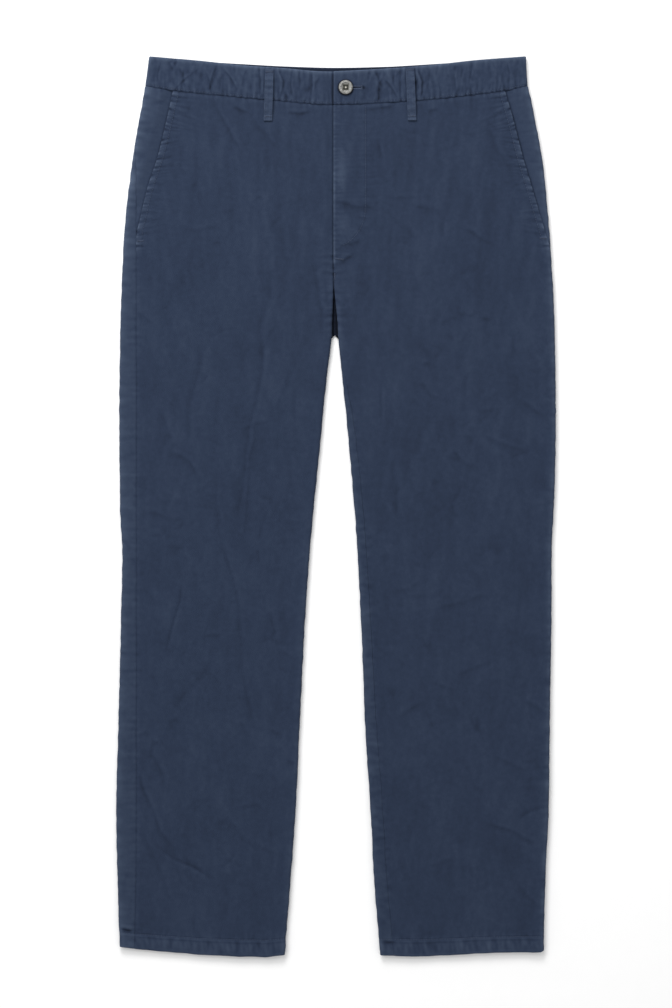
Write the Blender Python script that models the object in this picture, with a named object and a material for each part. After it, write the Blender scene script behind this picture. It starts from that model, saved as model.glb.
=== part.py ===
"""Chino trousers laid flat on a surface, front up.

Lengths are in millimetres and become metres when a mesh is made.
+X is the wearer's left, +Y points from the hems to the waist and +Z is up.
"down" is the distance below the waistband's top corners, measured along the trousers.
"out" is the distance from the centre line, towards the side seam of either half.
A panel is a wall of cloth made of rows of points. Each point is found by its "place", the
distance out that it would have if the leg's rolled edges were unrolled.
"""

import math
from collections import namedtuple

import bmesh
import bpy

MM = 0.001

# Driving sizes
LENGTH = 1070.0
CENTRE_DOWN = 0.5 * LENGTH
CLOTH = 1.2
BAND_CLOTH = 2.0
SEAM_GAP = 0.3
EDGE_RADIUS = 3.0
HALF_TURN = math.pi * EDGE_RADIUS
ROLLED_SEAM_GAP = 0.5
EDGE_BLEND = 26.0
PANEL_TOP = 35.0
PANEL_HEM = 1062.0
HEM_DEPTH = 18.0
HEM_EXTRA = 0.35
WAIST_FADE = 200.0
HEM_FADE = 80.0
LEAST_HOLLOW = 0.45

# Side edges of the trousers: how far out each lies
Side = namedtuple("Side", "down right left")
SIDES = (
    Side(0, 222.0, 225.5),
    Side(34, 226.7, 227.9),
    Side(56, 230.3, 232.6),
    Side(87, 236.2, 238.6),
    Side(134, 243.4, 246.9),
    Side(182, 249.3, 251.7),
    Side(230, 252.9, 255.3),
    Side(332, 256.5, 260.0),
    Side(432, 257.6, 261.2),
    Side(539, 256.5, 258.8),
    Side(587, 254.0, 256.6),
    Side(658, 255.2, 256.2),
    Side(801, 258.8, 254.1),
    Side(896, 261.2, 252.7),
    Side(967, 260.0, 249.3),
    Side(1027, 258.3, 247.4),
    Side(1070, 257.0, 246.6),
)

# Inner edges of the legs, from the crotch down
Inseam = namedtuple("Inseam", "down right left")
CROTCH_DOWN = 332.0
INNER_EDGES = (
    Inseam(332, 4.8, 2.3),
    Inseam(396, 12.5, 8.9),
    Inseam(468, 19.6, 16.1),
    Inseam(539, 26.8, 22.0),
    Inseam(658, 36.3, 29.2),
    Inseam(801, 43.4, 35.1),
    Inseam(896, 48.2, 41.1),
    Inseam(967, 53.0, 44.6),
    Inseam(1070, 61.9, 53.0),
)

# The X of the fly's folded edge and of the centre seam under it
Centre = namedtuple("Centre", "down x")
CENTRE_LINE = (Centre(0, -3.0), Centre(240, -3.0), Centre(290, -2.2), Centre(332, -1.4), Centre(1070, -1.4))

# Top of the front cloth above the surface, away from the rolled edges
Level = namedtuple("Level", "down height")
FRONT_HEIGHTS = (
    Level(0, 5.4),
    Level(120, 5.3),
    Level(260, 5.0),
    Level(400, 4.7),
    Level(700, 4.6),
    Level(960, 4.6),
    Level(1070, 5.0),
)

# Lines across the trousers: how far down each lies at an X
Line = namedtuple("Line", "x down")
FRONT_TOP = (
    Line(-222, 0.0), Line(-164, 4.9), Line(-107, 10.9), Line(-64, 13.8), Line(-12, 17.8),
    Line(51, 14.8), Line(108, 10.8), Line(165, 4.5), Line(225.5, 0.0),
)
BACK_TOP = (
    Line(-222, 0.8), Line(-164, 5.4), Line(-107, 8.8), Line(-60, 11.3), Line(0, 12.9),
    Line(60, 11.7), Line(108, 9.0), Line(150, 6.3), Line(225.5, 0.8),
)
WAIST_SEAM = (
    Line(-227, 35.0), Line(-193, 40.8), Line(-85, 51.2), Line(-5, 57.5),
    Line(84, 53.5), Line(201, 40.8), Line(228, 35.0),
)
RIGHT_HEM = (
    Line(-257, 1058.0), Line(-240, 1060.0), Line(-142, 1068.4), Line(-86, LENGTH), Line(-61, 1067.4),
)
LEFT_HEM = (
    Line(54, 1068.4), Line(93, 1069.2), Line(148, 1067.0), Line(192, 1065.0),
    Line(243, 1064.2), Line(248, 1061.5),
)

# Pocket mouths, from the waist seam to the side seam: how far out each lies
Mouth = namedtuple("Mouth", "down right left")
POCKET_MOUTHS = (
    Mouth(35, 193.4, 200.5),
    Mouth(70, 200.6, 210.0),
    Mouth(119, 212.0, 222.0),
    Mouth(155, 223.6, 232.6),
    Mouth(185, 231.0, 241.5),
    Mouth(219, 237.3, 251.6),
    Mouth(232, 237.3, 256.0),
)
POCKET_END = 232.0
FACING_END = {"right": 212.0, "left": 226.0}
POCKET_LAP = 7.0
POCKET_LAP_END = 140.0
POCKET_LAP_FADE = 25.0
POCKET_DROP = 1.7
POCKET_DROP_FADE = 35.0
POCKET_RISE = 14.0

# Places of the right side seam, which lies on top, and reach of the others past an edge
Place = namedtuple("Place", "down place")
RIGHT_SIDE_SEAM = (
    Place(0, 223.6), Place(34, 228.2), Place(60, 232.6), Place(87, 237.4), Place(108, 239.0),
    Place(135, 237.4), Place(944, 237.4), Place(1070, 239.8),
)
LEFT_SIDE_REACH = 0.5 * HALF_TURN
SIDE_SEAM_ROWS = [row.down for row in RIGHT_SIDE_SEAM[2:6]]

# The two fronts' and backs' inner edges. "fronts" and "backs" are lengths of cloth that go past
# the start of the rolled edge: past its top for a front, and past its foot for a back.
Roll = namedtuple("Roll", "down right_front right_back left_front left_back")
FRONTS_PART = 262.0
CROTCH_TURN = 337.0
INNER_ROLLS = (
    Roll(FRONTS_PART, 0.0, 0.0, 0.0, 0.0),
    Roll(300, 3.0, 0.0, 2.6, 0.0),
    Roll(331, 4.9, 0.0, 4.3, 0.0),
    Roll(CROTCH_TURN, 6.0, 2.3, 4.2, 4.5),
    Roll(352, 7.6, 1.2, 2.6, 6.3),
    Roll(400, 7.6, 1.2, -3.0, 12.0),
    Roll(450, 7.6, 1.2, -6.0, 15.0),
    Roll(520, 7.6, 1.2, -7.6, 16.6),
    Roll(660, 7.6, 1.2, -8.4, 17.4),
    Roll(800, 7.6, 1.2, -10.8, 19.8),
    Roll(940, 7.6, 1.2, -12.2, 21.2),
    Roll(1070, 7.6, 1.2, -13.6, 22.6),
)

# The fly: the left front laps over the right one
FLY_END = 246.0
LAP_END = 204.0
LAP = 10.0
LAP_DROP = 0.8
LAP_WIDTH = 34.0
BAND_LAP = 24.0

# Main folds of the front: soft troughs along a straight or bent line
Fold = namedtuple("Fold", "depth half_width path")
FOLDS = (
    Fold(0.9, 11, ((-147, 55), (-130, 84), (-108, 118))),
    Fold(0.8, 11, ((-190, 205), (-161, 206))),
    Fold(1.3, 14, ((-76, 250), (-92, 325), (-90, 372), (-106, 470), (-107, 560))),
    Fold(1.0, 11, ((-24, 240), (-18, 310))),
    Fold(1.3, 13, ((-141, 503), (-138, 580), (-118, 637), (-113, 704), (-97, 800))),
    Fold(1.1, 12, ((-154, 338), (-168, 400), (-177, 459))),
    Fold(1.3, 11, ((-202, 469), (-178, 480), (-159, 503))),
    Fold(0.8, 10, ((-226, 544), (-191, 550))),
    Fold(0.9, 12, ((-184, 625), (-199, 690))),
    Fold(1.2, 15, ((-153, 731), (-193, 779))),
    Fold(1.1, 11, ((-234, 816), (-216, 836), (-210, 852))),
    Fold(1.1, 11, ((-234, 856), (-214, 902), (-199, 929))),
    Fold(1.3, 10, ((-212, 940), (-171, 961), (-145, 973))),
    Fold(1.2, 12, ((-127, 907), (-104, 932), (-68, 947))),
    Fold(1.0, 11, ((183, 92), (193, 115), (206, 138))),
    Fold(0.9, 11, ((96, 180), (116, 184), (124, 194))),
    Fold(0.9, 12, ((149, 205), (183, 221))),
    Fold(1.1, 12, ((123, 321), (146, 315), (166, 301))),
    Fold(1.1, 12, ((137, 332), (105, 368))),
    Fold(1.2, 12, ((105, 419), (97, 451), (80, 500))),
    Fold(1.0, 11, ((70, 474), (72, 538))),
    Fold(1.4, 11, ((175, 451), (202, 461), (230, 469))),
    Fold(1.2, 11, ((137, 469), (166, 487))),
    Fold(1.1, 12, ((212, 405), (250, 426))),
    Fold(1.1, 13, ((198, 578), (178, 595), (143, 613))),
    Fold(1.1, 12, ((105, 659), (143, 650), (178, 640))),
    Fold(1.1, 12, ((137, 737), (186, 716))),
    Fold(1.0, 11, ((65, 789), (100, 770))),
    Fold(1.1, 11, ((184, 829), (218, 845))),
    Fold(1.3, 11, ((174, 908), (204, 918), (238, 934))),
    Fold(1.1, 11, ((97, 971), (135, 954), (166, 923))),
    Fold(1.0, 11, ((204, 971), (222, 991), (236, 1002))),
)

# Puckers of the front waistband: shallow troughs from its top edge to its seam
Pucker = namedtuple("Pucker", "depth half_width top_x foot_x")
BAND_PUCKERS = (
    Pucker(0.7, 3.6, -182, -186), Pucker(0.8, 3.6, -157, -151), Pucker(0.6, 3.4, -143, -139),
    Pucker(0.7, 3.6, -126, -116), Pucker(0.6, 3.4, -105, -103), Pucker(0.6, 3.6, -65, -61),
    Pucker(0.7, 3.6, -30, -29), Pucker(0.9, 3.8, 50, 54), Pucker(0.6, 3.4, 68, 69),
    Pucker(0.7, 3.6, 100, 102), Pucker(0.6, 3.4, 124, 127), Pucker(0.7, 3.6, 144, 141),
    Pucker(0.6, 3.4, 160, 160), Pucker(0.6, 3.6, 196, 203),
)

# Belt loops: X of the top and foot, and how far down each end lies
Loop = namedtuple("Loop", "name top_x foot_x top foot")
BELT_LOOPS = (
    Loop("right_front_belt_loop", -79.0, -80.8, 15.5, 77.0),
    Loop("left_front_belt_loop", 88.0, 90.4, 13.0, 76.5),
)
LOOP_WIDTH = 10.5
LOOP_CLOTH = 1.5
LOOP_SEAT = 0.4
LOOP_ARCH = 1.3
LOOP_END = 5.0

# Button: half of its section, as (distance from the axis, height)
BUTTON_X = 11.5
BUTTON_DOWN = 37.2
BUTTON_PROFILE = (
    (6.9, 0.0), (8.3, 0.8), (8.5, 1.7), (7.9, 2.6), (6.9, 2.9), (5.6, 2.6), (4.3, 1.5), (2.2, 1.2),
)
BUTTON_SEGMENTS = 28

# Colours, roughness and metallic value
NAVY = (0.036, 0.052, 0.092)
NAVY_PALE = (0.045, 0.062, 0.103)
NAVY_DEEP = (0.030, 0.043, 0.078)
HORN = (0.36, 0.34, 0.29)
CLOTH_ROUGHNESS = 0.9
BUTTON_ROUGHNESS = 0.42


def smoothstep(value):
    """0 to 1 on a soft curve."""
    value = min(max(value, 0.0), 1.0)
    return value * value * (3.0 - 2.0 * value)


def curve(table, key, column, at):
    """Read a column of a table where its key is at, on a smooth curve through the rows."""
    keys = [getattr(row, key) for row in table]
    values = [getattr(row, column) for row in table]
    at = min(max(at, keys[0]), keys[-1])
    last = len(keys) - 2
    row = max(i for i in range(last + 1) if keys[i] <= at)
    steps = [(values[i + 1] - values[i]) / (keys[i + 1] - keys[i]) for i in range(last + 1)]

    def tangent(i):
        if i == 0 or i == last + 1:
            return steps[min(i, last)]
        if steps[i - 1] * steps[i] <= 0.0:
            return 0.0
        return 2.0 * steps[i - 1] * steps[i] / (steps[i - 1] + steps[i])

    span = keys[row + 1] - keys[row]
    t = (at - keys[row]) / span
    return (
        (1 + 2 * t) * (1 - t) ** 2 * values[row]
        + t * (1 - t) ** 2 * span * tangent(row)
        + t * t * (3 - 2 * t) * values[row + 1]
        + t * t * (t - 1) * span * tangent(row + 1)
    )


def straight(table, key, column, at):
    """Read a column of a table where its key is at, on straight lines between the rows."""
    keys = [getattr(row, key) for row in table]
    values = [getattr(row, column) for row in table]
    at = min(max(at, keys[0]), keys[-1])
    row = max(i for i in range(len(keys) - 1) if keys[i] <= at)
    share = (at - keys[row]) / (keys[row + 1] - keys[row])
    return values[row] + share * (values[row + 1] - values[row])


def centre_x(down):
    return straight(CENTRE_LINE, "down", "x", down)


def distance_to_path(x, down, path):
    """Distance to a bent line, and the share of the line passed at its nearest point."""
    lengths = [math.dist(a, b) for a, b in zip(path, path[1:])]
    best = (math.inf, 0.0)
    passed = 0.0
    for (ax, ad), (bx, bd), length in zip(path, path[1:], lengths):
        t = ((x - ax) * (bx - ax) + (down - ad) * (bd - ad)) / length**2
        t = min(max(t, 0.0), 1.0)
        away = math.hypot(x - ax - t * (bx - ax), down - ad - t * (bd - ad))
        best = min(best, (away, (passed + t * length) / sum(lengths)))
        passed += length
    return best


def fold_depth(x, down):
    """How far the folds sink the front cloth at a point."""
    depth = 0.0
    for fold in FOLDS:
        away, share = distance_to_path(x, down, fold.path)
        if away < 3.0 * fold.half_width:
            ends = 0.45 + 0.55 * math.sin(math.pi * share)
            depth = max(depth, fold.depth * ends * math.exp(-((away / fold.half_width) ** 2)))
    return depth


class Half:
    """One half of the trousers: side is -1 for the wearer's right and +1 for the left."""

    def __init__(self, side):
        self.side = side
        self.name = "right" if side < 0 else "left"
        self.hem = RIGHT_HEM if side < 0 else LEFT_HEM

    def outer_start(self, level):
        """How far out the rolled side edge starts."""
        return curve(SIDES, "down", self.name, level) - EDGE_RADIUS

    def centre_out(self, level):
        return self.side * centre_x(level)

    def front_roll(self, level):
        return straight(INNER_ROLLS, "down", self.name + "_front", level)

    def back_roll(self, level):
        return straight(INNER_ROLLS, "down", self.name + "_back", level)

    def front_start(self, level):
        """How far out the front's rolled inner edge starts, or its flat one above the crotch."""
        if level <= FRONTS_PART:
            lap = LAP * (1.0 - smoothstep((level - LAP_END) / 10.0)) if self.side < 0 else 0.0
            return self.centre_out(level) + 0.5 * SEAM_GAP - lap
        turn = min(self.front_roll(level), 0.5 * HALF_TURN) / EDGE_RADIUS
        if level >= CROTCH_DOWN:
            return curve(INNER_EDGES, "down", self.name, level) + EDGE_RADIUS
        share = smoothstep((level - FRONTS_PART) / (CROTCH_DOWN - FRONTS_PART))
        parted = self.centre_out(FRONTS_PART) + 0.5 * SEAM_GAP
        crotch = curve(INNER_EDGES, "down", self.name, CROTCH_DOWN)
        return parted + share * (crotch - parted) + EDGE_RADIUS * math.sin(turn)

    def back_start(self, level):
        """How far out the back's rolled inner edge starts."""
        if level < CROTCH_DOWN:
            return self.side * CENTRE_LINE[-1].x + 0.5 * SEAM_GAP
        return curve(INNER_EDGES, "down", self.name, level) + EDGE_RADIUS

    def side_seam(self, level):
        """Place of the side seam, as seen from the front."""
        if self.side < 0:
            return straight(RIGHT_SIDE_SEAM, "down", "place", level)
        return self.outer_start(level) + LEFT_SIDE_REACH

    def pocket_mouth(self, level):
        return curve(POCKET_MOUTHS, "down", self.name, level)

    def down(self, level, out):
        """Distance down of a row at some distance out: rows bend to the waist seam and the hem."""
        x = self.side * out
        waist = curve(WAIST_SEAM, "x", "down", x) - PANEL_TOP
        hem = curve(self.hem, "x", "down", x) - PANEL_HEM
        to_waist = max(0.0, 1.0 - (level - PANEL_TOP) / WAIST_FADE) ** 2
        to_hem = max(0.0, 1.0 - (PANEL_HEM - level) / HEM_FADE)
        return level + waist * to_waist + hem * to_hem

    def top_height(self, level, out, start_in, start_out):
        """Top of the front cloth: level with the rolled edges there, and folded between them."""
        flat = curve(FRONT_HEIGHTS, "down", "height", level)
        inner = smoothstep((out - start_in) / EDGE_BLEND) if level > FRONTS_PART else 1.0
        outer = smoothstep((start_out - out) / EDGE_BLEND)
        share = min(inner, outer)
        sunk = fold_depth(self.side * out, self.down(level, out)) * share
        height = 2.0 * EDGE_RADIUS + share * (flat - 2.0 * EDGE_RADIUS) - sunk
        return max(height, 2.0 * CLOTH + LEAST_HOLLOW)

    def wrap(self, level, place, front, extra=0.0, wall=CLOTH):
        """Outer and inner point of the cloth at a place, on the tube that front and back make."""
        start_in = self.front_start(level) if front else self.back_start(level)
        start_out = self.outer_start(level)
        face = 1.0 if front else -1.0
        past = max(place - start_out, start_in - place, 0.0)
        way = 1.0 if place > start_out else -1.0
        start = start_out if way > 0 else start_in
        turn = past / EDGE_RADIUS
        if past <= 0.0:
            out, across, up, on_top = place, 0.0, face, front
        elif turn <= math.pi:
            out = start + way * EDGE_RADIUS * math.sin(turn)
            across, up, on_top = way * math.sin(turn), face * math.cos(turn), None
        else:
            out = start - way * (past - HALF_TURN)
            across, up, on_top = 0.0, -face, not front
        if on_top is None:
            height = EDGE_RADIUS + EDGE_RADIUS * up
        elif on_top:
            height = self.top_height(level, out, start_in, start_out)
        else:
            height = 0.0
        down = self.down(level, out)
        outer = (self.side * (out + across * extra), down, height + up * extra)
        inner = (self.side * (out - across * wall), down, height - up * wall)
        return outer, inner


def spread(start, end, start_steps, end_steps, middle):
    """Places across a panel: chosen steps at its two ends and even ones between them."""
    scale = min(1.0, 0.8 * (end - start) / (start_steps[-1] + end_steps[-1]))
    low = [start + scale * step for step in start_steps]
    high = [end - scale * step for step in reversed(end_steps)]
    gap = (high[0] - low[-1]) / (middle + 1)
    return low + [low[-1] + gap * (i + 1) for i in range(middle)] + high


def levels(start, end, count, fixed):
    """Even rows from start to end, with a row at each fixed level and none too close to it."""
    least = 0.45 * (end - start) / count
    even = [start + (end - start) * i / count for i in range(count + 1)]
    ends = [start, end]
    kept = [row for row in even if all(abs(row - stop) > least for stop in [*fixed, *ends])]
    return sorted({*kept, *fixed, *ends})


def hem_extra(level):
    """The turned-up hem stands out from the panel on both faces."""
    return HEM_EXTRA * smoothstep((level - (PANEL_HEM - HEM_DEPTH)) / 1.5 + 0.5)


HEM_ROWS = (PANEL_HEM - HEM_DEPTH - 0.8, PANEL_HEM - HEM_DEPTH + 0.8)


def material(name, colour, roughness):
    shade = bpy.data.materials.new(name)
    shade.use_nodes = True
    shader = shade.node_tree.nodes["Principled BSDF"]
    shader.inputs["Base Color"].default_value = (*colour, 1.0)
    shader.inputs["Roughness"].default_value = roughness
    shade.diffuse_color = (*colour, 1.0)
    return shade


def add_object(name, mesh_builder, colour, roughness=CLOTH_ROUGHNESS):
    """Make an object from a closed bmesh, with its faces turned out."""
    bmesh.ops.recalc_face_normals(mesh_builder, faces=mesh_builder.faces)
    mesh = bpy.data.meshes.new(name)
    mesh_builder.to_mesh(mesh)
    mesh_builder.free()
    mesh.shade_smooth()
    mesh.set_sharp_from_angle(angle=math.radians(50.0))
    mesh.materials.append(material(name, colour, roughness))
    obj = bpy.data.objects.new(name, mesh)
    bpy.context.scene.collection.objects.link(obj)
    return obj


def world(point):
    """From (X, down, height) in millimetres to metres."""
    x, down, height = point
    return (x * MM, (CENTRE_DOWN - down) * MM, height * MM)


def sheet(name, rows, colour):
    """A closed wall of cloth from rows of (outer, inner) points."""
    builder = bmesh.new()
    faces = [[[builder.verts.new(world(pair[k])) for pair in row] for row in rows] for k in (0, 1)]
    last_row, last_column = len(rows) - 1, len(rows[0]) - 1
    for grid in faces:
        for i in range(last_row):
            for j in range(last_column):
                builder.faces.new((grid[i][j], grid[i][j + 1], grid[i + 1][j + 1], grid[i + 1][j]))
    outer, inner = faces
    for i in (0, last_row):
        for j in range(last_column):
            builder.faces.new((outer[i][j], outer[i][j + 1], inner[i][j + 1], inner[i][j]))
    for j in (0, last_column):
        for i in range(last_row):
            builder.faces.new((outer[i][j], outer[i + 1][j], inner[i + 1][j], inner[i][j]))
    return add_object(name, builder, colour)


def lowered(pair, amount):
    return tuple((x, down, height - amount) for x, down, height in pair)


def fly_share(level):
    return 1.0 - smoothstep((level - 0.9 * FLY_END) / (0.1 * FLY_END))


def build_front(half):
    """A front panel, from the fly or inner edge to the pocket mouth or side seam."""
    fixed = [LAP_END, LAP_END + 10.0, POCKET_END, FLY_END, FRONTS_PART, 300.0, 331.0]
    fixed += [CROTCH_TURN, 352.0, *HEM_ROWS]
    rows = []
    for level in levels(PANEL_TOP + SEAM_GAP, PANEL_HEM, 46, fixed):
        inner_end = half.front_start(level) - half.front_roll(level)
        if level <= POCKET_END:
            outer_end = half.pocket_mouth(level)
        else:
            outer_end = half.side_seam(level) - 0.5 * SEAM_GAP
        if half.side < 0:
            places = spread(inner_end, outer_end, (0, 1.9, 3.8, 5.7, 7.6, 13, 22), (0, 5, 12), 10)
        else:
            places = spread(inner_end, outer_end, (0, 1.6, 3.2, 4.8, 12, 22), (0, 1.6, 3.2, 4.8, 12), 9)
        row = []
        for place in places:
            pair = half.wrap(level, place, True, hem_extra(level), CLOTH + hem_extra(level))
            to_fly = place - half.centre_out(level)
            if half.side < 0:
                lap = -smoothstep((LAP - to_fly) / LAP)
            else:
                lap = 1.0 - smoothstep((to_fly - 0.4 * LAP_WIDTH) / LAP_WIDTH)
            row.append(lowered(pair, -LAP_DROP * lap * fly_share(level)))
        rows.append(row)
    sheet(f"{half.name}_front_panel", rows, NAVY)


def build_back(half):
    """A back panel, from the centre back or inner edge, along the surface, to the side seam."""
    fixed = [*SIDE_SEAM_ROWS, POCKET_END, 331.0, CROTCH_TURN, 352.0, 400.0, 450.0, *HEM_ROWS]
    rows = []
    for level in levels(PANEL_TOP + SEAM_GAP, PANEL_HEM, 34, fixed):
        inner_end = half.back_start(level) - half.back_roll(level)
        seam_reach = half.side_seam(level) - half.outer_start(level)
        gap = 0.5 * SEAM_GAP if seam_reach < 0.0 else ROLLED_SEAM_GAP
        outer_reach = HALF_TURN - seam_reach - gap
        outer_end = half.outer_start(level) + outer_reach
        outer_steps = (0, 8, 16.5, 18.4, 20.3, 22.2, 24.1, 26, 34)
        inner_steps = (0, 6.5, 12.6, 14.5, 16.4, 18.3, 20.2, 22.1, 30)
        outer_scale = max(0.3, outer_reach / 26.0)
        inner_scale = max(0.3, half.back_roll(level) / 22.1)
        places = spread(
            inner_end,
            outer_end,
            [step * inner_scale for step in inner_steps],
            [step * outer_scale for step in outer_steps],
            11,
        )
        extra = hem_extra(level)
        rows.append([half.wrap(level, place, False, 0.0, CLOTH + extra) for place in places])
    sheet(f"{half.name}_back_panel", rows, NAVY_DEEP)


def build_facing(half):
    """The cloth seen in a pocket's mouth: sunk under the front's edge, then beside its foot."""
    rows = []
    for level in levels(PANEL_TOP + SEAM_GAP, FACING_END[half.name], 11, SIDE_SEAM_ROWS):
        lapped = 1.0 - smoothstep((level - POCKET_LAP_END) / POCKET_LAP_FADE)
        sunk = (level - POCKET_LAP_END - POCKET_LAP_FADE) / POCKET_DROP_FADE
        drop = POCKET_DROP * (1.0 - smoothstep(sunk))
        mouth = half.pocket_mouth(level)
        start = mouth + SEAM_GAP - lapped * (POCKET_LAP + SEAM_GAP)
        seam = half.side_seam(level) - 0.5 * SEAM_GAP
        row = []
        for place in spread(start, seam, (0, POCKET_LAP - 1.0), (0, 1.5, 3.0), 4):
            rise = smoothstep((place - mouth - 1.0) / POCKET_RISE)
            row.append(lowered(half.wrap(level, place, True), drop * (1.0 - rise)))
        rows.append(row)
    sheet(f"{half.name}_pocket_facing", rows, NAVY_PALE)


def pucker_depth(x, share):
    """How far the waistband's puckers sink it at a point."""
    depth = 0.0
    for pucker in BAND_PUCKERS:
        away = abs(x - pucker.top_x - share * (pucker.foot_x - pucker.top_x))
        depth = max(depth, pucker.depth * math.exp(-((away / pucker.half_width) ** 2)))
    return depth


BAND_ROWS = (0.0, 0.2, 0.5, 0.8, 1.0)
BAND_HEIGHT = 5.7
BAND_RADIUS = 0.5 * BAND_HEIGHT


def band_point(side, place, share, top_line, front, depth=0.0):
    """Outer and inner point of the waistband, on the flat ring that front and back make."""
    edge = curve(SIDES, "down", "right" if side < 0 else "left", share * PANEL_TOP)
    start = edge - BAND_RADIUS
    turn = max(0.0, place - start) / BAND_RADIUS
    face = 1.0 if front else -1.0
    out = place if turn <= 0.0 else start + BAND_RADIUS * math.sin(turn)
    across, up = math.sin(turn), face * math.cos(turn)
    height = BAND_RADIUS + BAND_RADIUS * up - depth
    x = side * out
    top = curve(top_line, "x", "down", x)
    foot = curve(WAIST_SEAM, "x", "down", x) - 0.5 * SEAM_GAP
    down = top + share * (foot - top)
    wall = BAND_CLOTH
    return (x, down, height), (side * (out - across * wall), down, height - up * wall)


def build_front_band(half):
    """Half of the front waistband: the left one laps over the right one."""
    side = half.side
    lap = BAND_LAP if side < 0 else 0.0
    inner_end = half.centre_out(0.0) + 0.5 * SEAM_GAP - lap
    rows = []
    for share in BAND_ROWS:
        edge = curve(SIDES, "down", half.name, share * PANEL_TOP)
        outer_end = edge - BAND_RADIUS + 0.5 * math.pi * BAND_RADIUS - 0.5 * ROLLED_SEAM_GAP
        row = []
        for place in spread(inner_end, outer_end, (0, 3.0), (0, 1.4, 2.8, 4.2), 48):
            to_fly = place - half.centre_out(0.0)
            if side < 0:
                lift = -1.2 * smoothstep((12.0 - to_fly) / 10.0)
            else:
                lift = 1.2 * (1.0 - smoothstep((to_fly - BAND_LAP - 3.0) / 16.0))
            sunk = pucker_depth(side * place, share) if abs(lift) < 0.1 else 0.0
            row.append(lowered(band_point(side, place, share, FRONT_TOP, True, sunk), -lift))
        rows.append(row)
    sheet(f"{half.name}_front_waistband", rows, NAVY_PALE)


def build_back_band():
    """The back waistband, from side edge to side edge along the surface."""
    rows = []
    for share in BAND_ROWS:
        row = []
        for side in (-1, 1):
            name = "right" if side < 0 else "left"
            edge = curve(SIDES, "down", name, share * PANEL_TOP)
            outer_end = edge - BAND_RADIUS + 0.5 * math.pi * BAND_RADIUS - 0.5 * ROLLED_SEAM_GAP
            places = spread(0.0 if side < 0 else 20.0, outer_end, (0,), (0, 1.4, 2.8, 4.2), 24)
            points = [band_point(side, place, share, BACK_TOP, False) for place in places]
            row += reversed(points) if side < 0 else points
        rows.append(row)
    sheet("back_waistband", rows, NAVY_DEEP)


def build_belt_loop(loop):
    """A strip over the waistband, seated at both ends and arched between them."""
    count = 16
    half = RIGHT_HALF if loop.top_x < 0 else LEFT_HALF
    rows = []
    for i in range(count + 1):
        share = i / count
        down = loop.top + share * (loop.foot - loop.top)
        x = loop.top_x + share * (loop.foot_x - loop.top_x)
        seam = curve(WAIST_SEAM, "x", "down", x)
        on_panel = smoothstep((down - seam) / 9.0)
        panel = curve(FRONT_HEIGHTS, "down", "height", down)
        seat = BAND_HEIGHT + on_panel * (panel - BAND_HEIGHT) + LOOP_SEAT
        from_end = min(down - loop.top, loop.foot - down)
        arch = LOOP_ARCH * smoothstep((from_end - LOOP_END) / (2.0 * LOOP_END))
        row = []
        for across in (-0.5, -0.38, 0.38, 0.5):
            rounding = 0.3 if abs(across) == 0.5 else 0.0
            under = seat + arch
            wide = x + across * LOOP_WIDTH
            row.append(((wide, down, under + LOOP_CLOTH - rounding), (wide, down, under)))
        rows.append(row)
    sheet(loop.name, rows, NAVY_PALE)


def build_button():
    """A turned button with a raised rim and a sunken middle."""
    builder = bmesh.new()
    base = BAND_HEIGHT + 1.2 + SEAM_GAP
    rings = []
    for radius, height in BUTTON_PROFILE:
        ring = []
        for i in range(BUTTON_SEGMENTS):
            angle = 2.0 * math.pi * i / BUTTON_SEGMENTS
            x = BUTTON_X + radius * math.cos(angle)
            down = BUTTON_DOWN - radius * math.sin(angle)
            ring.append(builder.verts.new(world((x, down, base + height))))
        rings.append(ring)
    for low, high in zip(rings, rings[1:]):
        for i in range(BUTTON_SEGMENTS):
            j = (i + 1) % BUTTON_SEGMENTS
            builder.faces.new((low[i], low[j], high[j], high[i]))
    builder.faces.new(rings[0])
    builder.faces.new(rings[-1])
    add_object("waist_button", builder, HORN, BUTTON_ROUGHNESS)


for old in list(bpy.data.objects):
    bpy.data.objects.remove(old, do_unlink=True)

RIGHT_HALF = Half(-1)
LEFT_HALF = Half(1)
for each_half in (RIGHT_HALF, LEFT_HALF):
    build_front(each_half)
    build_back(each_half)
    build_facing(each_half)
    build_front_band(each_half)
build_back_band()
for each_loop in BELT_LOOPS:
    build_belt_loop(each_loop)
build_button()
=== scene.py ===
"""Looks of the chino trousers, which lie flat with their front up.

Lengths are in millimetres and become metres when a mesh is made, as in the solids' own source.
"down" is the distance below the waistband's top corners, "out" the distance from the centre
line towards a side seam, and "place" the distance out with a leg's rolled edges unrolled.
Right and left are the wearer's, so the right half lies at -X.
"""

import math
from collections import namedtuple

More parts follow.
